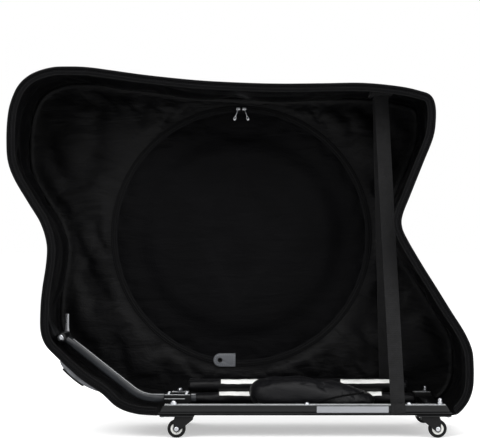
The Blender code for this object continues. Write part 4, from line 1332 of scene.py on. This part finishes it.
class BAG_OT_fork_support(bpy.types.Operator):
    """Makes the bent support tube with its clamp, head, skewer and lever"""

    bl_idname = "bag.fork_support"
    bl_label = "Fork support"

    BEND_SHARE = -0.2205
    ELBOW_SHARES = (-0.369, 0.186)
    ARM_RADIUS = 10.5 * MM
    BOLT = in_mm((0, 1.2), (1.6, 1.2), (2.0, 3.0), (3.8, 3.0), (4.4, 2.2), (4.4, -1), (0, -1))

    def execute(self, context):
        length, floor, rise = shell_size()
        clamp_low, clamp_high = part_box("arm_clamp")
        level = (clamp_low.z + clamp_high.z) / 2
        head_low, head_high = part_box("fork_mount_head")
        head = (head_low + head_high) / 2
        head_radius = (head_high.z - head_low.z) / 2
        tail = Vector((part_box("fork_arm")[1].x, 0, level))
        elbow = Vector((self.ELBOW_SHARES[0] * length, 0, floor + self.ELBOW_SHARES[1] * rise))
        tip = head + (elbow - head).normalized() * (head_radius + 0.5 * MM)
        corners = [tail, Vector((self.BEND_SHARE * length, 0, level)), elbow, tip]
        route = [corners[0]]
        for before, corner, after, share in zip(corners, corners[1:], corners[2:], (0.25, 0.4)):
            start = corner + (before - corner) * share
            end = corner + (after - corner) * share * 0.6
            for step in range(17):
                along = step / 16
                route.append(start * (1 - along) ** 2 + corner * 2 * along * (1 - along) + end * along**2)
        route.append(tip)
        radius = self.ARM_RADIUS
        arm = tube("fork_arm_tube", route, radius, sides=14)

        def squared(point, normal):
            """Flattens the tube's top, front and back, as on drawn tube with rounded corners."""
            side = abs(normal.y)
            other = math.sqrt(max(1 - side * side, 0))
            return point + normal * radius * (0.95 * (side**5 + other**5) ** (-1 / 5) - 1)

        reshaped(arm, squared)
        # A light strip along the arm's top corner: a painted highlight.
        centres = [*route[:-1], tip + (elbow - tip).normalized() * 12 * MM]
        crest = []
        for before, spot, after in zip([centres[0], *centres], centres, [*centres[1:], centres[-1]]):
            along = (after - before).normalized()
            crest.append(spot + Vector((along.z, 0, -along.x)) * radius * 0.95)
        edge = ribbon("fork_arm_top_edge", crest, Vector((0, 1, 0)), 12 * MM, 0.9 * MM)
        dress(edge, "bare_edge")
        for vertex in arm.data.vertices:
            vertex.co.y *= 1 + 0.35 * smooth_step((vertex.co - tip).length, 36 * MM, 8 * MM)
        dress(arm, "arm_coat", stands_for=("fork_arm",))
        profile = in_mm((0, 1.2), (9, 1.2), (9.9, 0.6), (9.9, -6), (0, -6))
        dress(turned("fork_arm_plug", profile, tail, "X"), "black_nylon")
        clamp = node_copy("arm_clamp_block", "arm_clamp", 1.5 * MM)
        dress(clamp, "black_nylon", stands_for=("arm_clamp",))
        # Light strips along the clamp's top edge and middle, on both faces: painted highlights on its edges.
        size = clamp_high - clamp_low
        middle = (clamp_low + clamp_high) / 2
        strips = []
        for height, length_share in ((0.94, 1.0), (0.52, 0.8)):
            for y in (clamp_low.y, clamp_high.y):
                strip = Vector((size.x * length_share - 3 * MM, 1.6 * MM, 1.6 * MM))
                spot = Vector((middle.x - size.x * (1 - length_share) / 2, y, clamp_low.z + size.z * height))
                strips.append(box_form("strip", strip, spot, 0.4 * MM, 2))
        dress(joined("arm_clamp_strips", strips), "bare_edge")
        places = corner_spots(clamp_low, clamp_high, (12 * MM, 5 * MM), clamp_high.z)
        bolts = [turned("bolt", self.BOLT, place, steps=24) for place in places]
        dress(joined("arm_clamp_bolts", bolts), "plated_steel")
        self.add_head(head, head_radius, (head_high.y - head_low.y) / 2)
        return {"FINISHED"}

    def add_head(self, head, radius, half):
        bore = 4.8 * MM
        shape = [
            (bore, half), (radius * 0.86, half), (radius, half - 1.4 * MM), (radius, half - 9 * MM),
            (radius * 0.9, half - 10 * MM), (radius * 0.9, half - 12 * MM), (radius, half - 13 * MM),
        ]
        barrel = turned("fork_mount_barrel", mirrored(shape), head, "Y", 48, closed=True)
        dress(barrel, "powder_coat", stands_for=("fork_mount_head",))
        low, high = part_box("fork_skewer")
        nut = 8.5 * MM
        foot = low.y + 10 * MM
        pin = 4.5 * MM
        shape = [
            (0, high.y), (pin * 0.8, high.y), (pin, high.y - 0.8 * MM), (pin, foot), (nut, foot),
            (nut, foot - 1.4 * MM), (nut * 0.82, foot - 2.6 * MM), (nut * 0.82, foot - 6.6 * MM),
            (nut * 0.7, foot - 9 * MM), (nut * 0.3, low.y), (0, low.y),
        ]
        skewer = turned("fork_skewer_rod", shape, Vector((head.x, 0, head.z)), "Y", 40)
        dress(skewer, "plated_steel", stands_for=("fork_skewer",))
        pivot = joint_spot("skewer_lever_open")
        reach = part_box("skewer_lever")[1].z - pivot.z
        side = in_mm((-5.6, -4.5), (-3, -7), (3, -7), (6.8, -3), (7, 3), (3.4, 8), (2.6, 20), (3.6, 38))
        side += [(3.8 * MM, reach - 4 * MM), (2.2 * MM, reach), (-0.2 * MM, reach - 1 * MM)]
        side += in_mm((-1.4, 38), (-2.4, 20), (-5.4, 7), (-7.1, 2))
        side = [(spot.x, spot.y) for spot in smooth_line([Vector(point) for point in side], 4, cyclic=True)]
        turn = Matrix.Rotation(math.pi / 2, 4, "Z") @ UPRIGHT
        lever = flat_shape("skewer_lever_metal", [side], 12 * MM, turn)
        lever.data.transform(Matrix.Translation(pivot))
        for vertex in lever.data.vertices:
            narrow = smooth_step(vertex.co.z, pivot.z + 4 * MM, pivot.z + reach * 0.4) * 0.3
            vertex.co.x = pivot.x + (vertex.co.x - pivot.x) * (1 - narrow)
        round_edges(lever, 1.2 * MM, 3)
        dress(lever, "plated_steel", "skewer_lever_body", ("skewer_lever",))


# Straps


def ribbon(name, line, across, width, thickness):
    """Webbing laid along a line, flat across one direction, with its UV map in metres."""
    rows = [[spot + across * width * (step / 8 - 0.5) for step in range(9)] for spot in line]
    return thickened(loft(name, rows), thickness)


class BAG_OT_straps(bpy.types.Operator):
    """Makes the hold-down strap, its loop round the rail and its anchor under the roof"""

    bl_idname = "bag.straps"
    bl_label = "Hold-down strap"

    WEBBING = (36 * MM, 1.8 * MM)
    LEG_STEPS = 90

    def execute(self, context):
        anchor_low, anchor_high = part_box("strap_anchor")
        loop_low, loop_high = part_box("strap_loop")
        width, thickness = self.WEBBING
        for node, rail, side in (("strap_near", "near_rail", -1), ("strap_far", "far_rail", 1)):
            low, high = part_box(node)
            foot = Vector(((loop_low.x + loop_high.x) / 2, low.y if side < 0 else high.y, low.z))
            foot.y -= side * width * 0.02
            top = Vector(((anchor_low.x + anchor_high.x) / 2, side * 20 * MM, anchor_low.z + 0.5 * MM))
            rows = []
            for step in range(self.LEG_STEPS + 1):
                share = step / self.LEG_STEPS
                spot = foot.lerp(top, share)
                ripple = math.sin(share * 9) * 1.4 * MM + math.sin(share * 23 + 1) * 0.5 * MM
                spot.y += side * ripple * math.sin(math.pi * share)
                twist = 0.10 * math.sin(share * 7 + side) * math.sin(math.pi * share)
                across = Vector((math.cos(twist), math.sin(twist), 0.035))
                row = []
                for column in range(9):
                    cup = 0.9 * MM * (1 - (2 * column / 8 - 1) ** 2)
                    row.append(spot + across * width * (column / 8 - 0.5) + Vector((0, side * cup, 0)))
                rows.append(row)
            leg = thickened(loft(node + "_webbing", rows), thickness)
            dress(leg, "black_webbing", stands_for=(node,))
        self.add_loop(loop_low, loop_high)
        self.add_anchor(anchor_low, anchor_high)
        return {"FINISHED"}

    def add_loop(self, low, high):
        width, thickness = self.WEBBING
        middle = Vector((0, (low.y + high.y) / 2, (low.z + high.z) / 2))
        half_y = (high.y - low.y) / 2 - thickness / 2
        half_z = (high.z - low.z) / 2 - thickness / 2
        centre = (low.x + high.x) / 2
        ring = []
        for angle in turns(72):
            c, s = math.cos(angle), math.sin(angle)
            reach = (abs(c) ** 7 + abs(s) ** 7) ** (-1 / 7)
            ring.append(Vector((0, middle.y + half_y * c * reach, middle.z + half_z * s * reach)))
        rows = []
        columns = 18
        for spot in ring:
            away = (spot - middle).normalized()
            row = []
            for step in range(columns + 1):
                share = step / columns
                pleat = math.sin(share * 5 * math.pi) * 0.9 * MM
                row.append(spot + away * (0.5 * MM + pleat * 0.5) + Vector((centre + width * (share - 0.5), 0, 0)))
            rows.append(row)
        rows.append(rows[0])
        loop = thickened(loft("strap_loop_webbing", rows), thickness * 0.8)
        dress(loop, "black_webbing", stands_for=("strap_loop",))

    def add_anchor(self, low, high):
        patch = node_copy("strap_anchor_patch", "strap_anchor", 1.2 * MM)
        dress(patch, "oxford_cloth", stands_for=("strap_anchor",))
        face = low.z - 0.1 * MM
        near_front, far_front, near_rear, far_rear = corner_spots(low, high, (5 * MM, 5 * MM), face)
        corners = [near_front, near_rear, far_rear, far_front]
        stitched("strap_anchor_stitches", [corners], Vector((0, 0, -1)), cyclic=True)


class BAG_OT_handle(bpy.types.Operator):
    """Makes the webbing grab handle under the front of the shell"""

    bl_idname = "bag.handle"
    bl_label = "Grab handle"

    RISE_SHARES = (
        (0.0, 0.1), (0.04, 0.5), (0.12, 0.68), (0.28, 0.84), (0.45, 0.92), (0.62, 0.95), (0.8, 0.93), (0.9, 0.86),
        (0.96, 0.66), (1.0, 0.15),
    )
    OUT = Vector((-0.62, 0, -0.78))

    def execute(self, context):
        length, floor, rise = shell_size()
        slope = [Vector((x * length, 0, floor + z * rise)) for x, z in RIM_SHARES[3:7]]
        low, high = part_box("grab_handle")
        steps = reaches(slope)
        knots = []
        for share, lift in self.RISE_SHARES:
            reach = share * steps[-1]
            leg = sum(step < reach for step in steps[1:-1])
            start, end = slope[leg], slope[leg + 1]
            along = (end - start).normalized()
            knots.append(start + along * (reach - steps[leg]) + self.OUT * (3 * MM + lift * 33 * MM))
        line = smooth_line(knots, 10)
        lifts = smooth_line([Vector((share, lift, 0)) for share, lift in self.RISE_SHARES], 10)
        rings = []
        for spot, lift in zip(line, lifts):
            middle_part = smooth_step(lift.x, 0.16, 0.36) * (1 - smooth_step(lift.x, 0.64, 0.84))
            deep = max(lift.y * 33 - 4, 3) * MM * (1 - middle_part) + 15 * MM * middle_part
            ring = []
            for angle in turns(28):
                across, up = squarish(angle, 0.5, 0.7)
                y = across * (high.y - low.y) / 2
                ring.append(spot + self.OUT * ((up - 1) * deep / 2) + Vector((0, y, 0)))
            rings.append(ring)
        pad = capped(loft("grab_handle_pad", rings, closed_round=True))
        dress(pad, "grey_webbing", stands_for=("grab_handle",), angle=60)
        grip = [spot + self.OUT * 1.2 * MM for spot, lift in zip(line, lifts) if 0.36 < lift.x < 0.84]
        strap = ribbon("grab_handle_webbing", grip, Vector((0, 1, 0)), high.y - low.y - 3 * MM, 2.4 * MM)
        dress(strap, "black_webbing")
        half = (high.y - low.y) / 2 - 5 * MM
        boxes = []
        for start, end in ((2, 12), (-13, -3)):
            first, last = line[start], line[end]
            away = self.OUT * 0.4 * MM
            corners = [first + away, last + away, last + away, first + away]
            for corner, side in zip(corners, (-1, -1, 1, 1)):
                corner.y = side * half
            boxes.append([*corners, corners[0], corners[2]])
        stitched("grab_handle_stitches", boxes, lambda spot: self.OUT)
        return {"FINISHED"}


# Padding


def unheld(spot):
    """Cloth that is sewn to nothing is free to move everywhere."""
    return 0.0


class BAG_OT_padding(bpy.types.Operator):
    """Makes the chainring pouch and the four sleeves that lie in the bag"""

    bl_idname = "bag.padding"
    bl_label = "Pouch and sleeves"

    def execute(self, context):
        self.add_pouch()
        for name, label_share in (("down_tube", 0.5), ("front_fork", 0.45), ("top_tube", 0.55), ("seat_stay", 0.6)):
            self.add_sleeve(name + "_sleeve", label_share)
        return {"FINISHED"}

    def add_pouch(self):
        low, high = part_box("drivetrain_pad")
        size = high - low
        rings = []
        for step in range(45):
            share = step / 44
            end = math.sqrt(max(1 - (2 * share - 1) ** 6, 0.0))
            tall = (1.0 - 0.42 * smooth_step(share, 0.45, 0.95)) * (0.9 + 0.1 * math.sin(share * 5))
            half_z = size.z / 2 * end * tall * 0.97
            half_y = size.y / 2 * end * (0.9 - 0.25 * smooth_step(share, 0.5, 1.0))
            middle_z = low.z + 1 * MM + size.z / 2 * tall * 0.97
            middle_y = (low.y + high.y) / 2 - size.y * 0.03 * share
            ring = []
            for angle in turns(40):
                across, up = squarish(angle, 0.75, 0.8)
                mouth = max(math.sin(angle), 0) ** 6 * 26 * MM
                mouth *= smooth_step(share, 0.05, 0.2) * (1 - smooth_step(share, 0.5, 0.7))
                x = low.x + size.x * (0.01 + 0.98 * share)
                ring.append(Vector((x, middle_y + half_y * across, middle_z + half_z * up - mouth)))
            rings.append(ring)
        pouch = capped(loft("chainring_pouch", rings, closed_round=True))
        modify(pouch, "REMESH", mode="VOXEL", voxel_size=sizes().voxel)
        crumpled(pouch, unheld, 0.02, 7 * MM, sizes().frames, pressure=3.5, bending=0.5)
        modify(pouch, "SUBSURF", levels=1, render_levels=1)

        def creased(spot, normal):
            spot = spot + normal * noise.noise(Vector((spot.x * 30, spot.y * 18, spot.z * 42))) * 1.8 * MM
            spot.z = max(spot.z, low.z)
            return spot

        reshaped(pouch, creased)
        dress(pouch, "quilted_nylon", stands_for=("drivetrain_pad",), angle=80)
        seam = smooth_line(
            [Vector((low.x + size.x * x, low.y - 0.1, low.z + size.z * z)) for x, z in self.SEAM_SHARES], 14
        )
        line = laid_on(surface_of(pouch), seam, Vector((0, 1, 0)), 0.8 * MM)
        dress(tube("pouch_piping", line, 2.2 * MM), "binding_tape")

    SEAM_SHARES = (
        (0.05, 0.42), (0.10, 0.22), (0.20, 0.13), (0.32, 0.13), (0.46, 0.20), (0.60, 0.33), (0.74, 0.42), (0.9, 0.46),
    )

    def add_sleeve(self, node, label_share):
        low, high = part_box(node)
        size = high - low
        middle = (low + high) / 2
        steps = round(size.x / (6 * MM))
        wall = 6 * MM

        def ring(x, inset):
            flare = 1 + 0.04 * math.cos((x - low.x) / size.x * 2 * math.pi)
            points = []
            for angle in turns(44):
                across, up = squarish(angle, 0.7, 0.75)
                sag = 1 - 0.28 * (1 - abs(math.cos(angle))) * max(math.sin(angle), 0)
                y = middle.y + (size.y / 2 * 0.93 * flare - inset) * across
                points.append(Vector((x, y, middle.z + (size.z / 2 * 0.92 - inset) * up * sag)))
            return points

        places = [low.x + 3 * MM + (size.x - 6 * MM) * step / steps for step in range(steps + 1)]
        rings = [ring(x, 0) for x in places] + [ring(x, wall) for x in reversed(places)]
        rings.append(rings[0])
        sleeve = loft(node + "_padding", rings, closed_round=True)
        in_edit_mode(sleeve, weld, face_outwards)
        modify(sleeve, "REMESH", mode="VOXEL", voxel_size=4.5 * MM)
        crumpled(sleeve, unheld, 0.03, 4 * MM, sizes().frames - 2, pressure=2.0, bending=0.5)

        def creased(spot, normal):
            wrinkle = noise.noise(Vector((spot.x * 55, spot.y * 20 + middle.x * 9, spot.z * 30)))
            spot = spot + normal * wrinkle * 1.1 * MM
            spot.z = min(max(spot.z, low.z), high.z)
            return spot

        reshaped(sleeve, creased)
        dress(sleeve, "quilted_nylon", stands_for=(node,), angle=80)
        ends = [ring(x, wall / 2) for x in (places[0], places[-1])]
        bindings = [tube("binding", end, wall / 2 + 0.7 * MM, cyclic=True, sides=3) for end in ends]
        dress(joined(node + "_binding", bindings), "binding_tape")
        slant = Vector((0, 0.6, -0.8))
        across = Vector((0, 0.8, 0.6))
        centre_x = low.x + size.x * label_share
        shoulder = Vector((centre_x, low.y + size.y * 0.2, high.z - size.z * 0.12))
        surface = surface_of(sleeve)
        rows = []
        for step in range(31):
            along = Vector((140 * MM * (step / 30 - 0.5), 0, 0))
            start = shoulder + along
            origins = [start + across * 23 * MM * (column / 6 - 0.5) - slant * 50 * MM for column in range(7)]
            rows.append(laid_on(surface, origins, slant, 0.9 * MM))
        label = loft(node + "_label", rows)
        in_edit_mode(label, face_outwards)
        thickened(label, 0.8 * MM)
        dress(label, "label_cloth")


# The stage


class BAG_OT_stage(bpy.types.Operator):
    """Sets the floor, the soft lamps and the camera"""

    bl_idname = "bag.stage"
    bl_label = "Floor, lamps and camera"

    def execute(self, context):
        scene = context.scene
        scene.view_settings.view_transform = "Standard"
        only_nothing()
        bpy.ops.mesh.primitive_plane_add(size=60, location=(0, 20, 0))
        floor = context.object
        floor.name = "studio_floor"
        only(floor)
        bpy.ops.object.transform_apply(location=True, rotation=True, scale=True)
        floor.data.materials.append(self.pale_floor())
        self.light_world(scene)
        for name, place, target, size, power in (
            ("key_lamp", (-1.6, -2.6, 2.6), (0, 0, 0.5), 1.6, 62),
            ("fill_lamp", (2.4, -2.2, 1.4), (0, 0, 0.45), 1.8, 34),
            ("top_lamp", (0.8, -1.3, 2.6), (0, 0, 0.4), 1.6, 36),
            ("back_lamp", (-1.2, 2.4, 2.2), (0, 0, 0.5), 2.0, 38),
        ):
            lamp = bpy.data.lights.new(name, "AREA")
            lamp.size = size
            lamp.energy = power
            piece = bpy.data.objects.new(name, lamp)
            scene.collection.objects.link(piece)
            piece.location = place
            piece.rotation_euler = (Vector(target) - Vector(place)).to_track_quat("-Z", "Y").to_euler()
        self.add_camera(scene)
        return {"FINISHED"}

    def seen_directly(self, tree):
        """1 for rays from the camera, a mirror or a clear pane, and 0 for rays that light the object."""
        path = add_node(tree, "ShaderNodeLightPath")
        total = path.outputs["Is Camera Ray"]
        for name in ("Is Glossy Ray", "Is Transmission Ray"):
            links = {0: total, 1: path.outputs[name]}
            total = add_node(tree, "ShaderNodeMath", {"operation": "MAXIMUM"}, links=links).outputs["Value"]
        return total

    def pale_floor(self):
        """White matt paper, whose unshaded part is seen as white."""
        material = bpy.data.materials.new("matt white paper")
        material.use_nodes = True
        tree = material.node_tree
        tree.nodes.clear()
        matt = add_node(tree, "ShaderNodeBsdfDiffuse", values={"Color": (0.8, 0.8, 0.8, 1)})
        links = {0: self.seen_directly(tree)}
        lift = add_node(tree, "ShaderNodeMath", {"operation": "MULTIPLY"}, {1: FLOOR_GLOW}, links)
        glow = add_node(tree, "ShaderNodeEmission", links={"Strength": lift.outputs["Value"]})
        both = add_node(tree, "ShaderNodeAddShader", links={0: matt.outputs["BSDF"], 1: glow.outputs["Emission"]})
        add_node(tree, "ShaderNodeOutputMaterial", links={"Surface": both.outputs["Shader"]})
        return material

    def light_world(self, scene):
        world = bpy.data.worlds.new("white studio")
        scene.world = world
        world.use_nodes = True
        tree = world.node_tree
        tree.nodes.clear()
        white = (1, 1, 1, 1)
        lighting = add_node(tree, "ShaderNodeBackground", values={"Color": white, "Strength": WORLD_STRENGTH})
        backdrop = add_node(tree, "ShaderNodeBackground", values={"Color": white})
        mix = add_node(
            tree,
            "ShaderNodeMixShader",
            links={
                "Fac": self.seen_directly(tree),
                1: lighting.outputs["Background"],
                2: backdrop.outputs["Background"],
            },
        )
        add_node(tree, "ShaderNodeOutputWorld", links={"Surface": mix.outputs["Shader"]})

    def add_camera(self, scene):
        near = CAD_BOX[0][1]
        width = PHOTO_SIZE[0] * METRES_PER_PIXEL
        eye = Vector(
            (
                (EYE_PIXEL[0] - PHOTO_SIZE[0] / 2) * METRES_PER_PIXEL,
                near - EYE_DISTANCE,
                (FLOOR_PIXEL - EYE_PIXEL[1]) * METRES_PER_PIXEL,
            )
        )
        data = bpy.data.cameras.new("photograph_view")
        data.sensor_width = SENSOR_WIDTH
        data.lens = SENSOR_WIDTH * EYE_DISTANCE / width
        data.shift_x = (PHOTO_SIZE[0] / 2 - EYE_PIXEL[0]) / PHOTO_SIZE[0]
        data.shift_y = (EYE_PIXEL[1] - PHOTO_SIZE[1] / 2) / PHOTO_SIZE[0]
        camera = bpy.data.objects.new("photograph_view", data)
        camera.location = eye
        camera.rotation_euler = (math.pi / 2, 0, 0)
        scene.collection.objects.link(camera)
        scene.camera = camera


OPERATORS = (
    BAG_OT_shell,
    BAG_OT_rim,
    BAG_OT_pocket,
    BAG_OT_pulls,
    BAG_OT_rails,
    BAG_OT_casters,
    BAG_OT_fork_support,
    BAG_OT_straps,
    BAG_OT_handle,
    BAG_OT_padding,
    BAG_OT_stage,
)


class VIEW3D_PT_travel_bag(bpy.types.Panel):
    """Lists the bag's pieces and its sizes and colours"""

    bl_label = "Travel bag"
    bl_space_type = "VIEW_3D"
    bl_region_type = "UI"
    bl_category = "Travel bag"

    def draw(self, context):
        for group in (context.scene.bag_sizes, context.scene.bag_colours):
            box = self.layout.box()
            for name in group.__annotations__:
                box.prop(group, name)
        for operator in OPERATORS:
            self.layout.operator(operator.bl_idname)


CLASSES = (BagSizes, BagColours, *OPERATORS, VIEW3D_PT_travel_bag)


def register():
    for one in CLASSES:
        bpy.utils.register_class(one)
    bpy.types.Scene.bag_sizes = PointerProperty(type=BagSizes)
    bpy.types.Scene.bag_colours = PointerProperty(type=BagColours)


def unregister():
    del bpy.types.Scene.bag_colours
    del bpy.types.Scene.bag_sizes
    for one in reversed(CLASSES):
        bpy.utils.unregister_class(one)


def main():
    register()
    for operator in OPERATORS:
        group, name = operator.bl_idname.split(".")
        getattr(getattr(bpy.ops, group), name)()


if __name__ == "__main__":
    main()
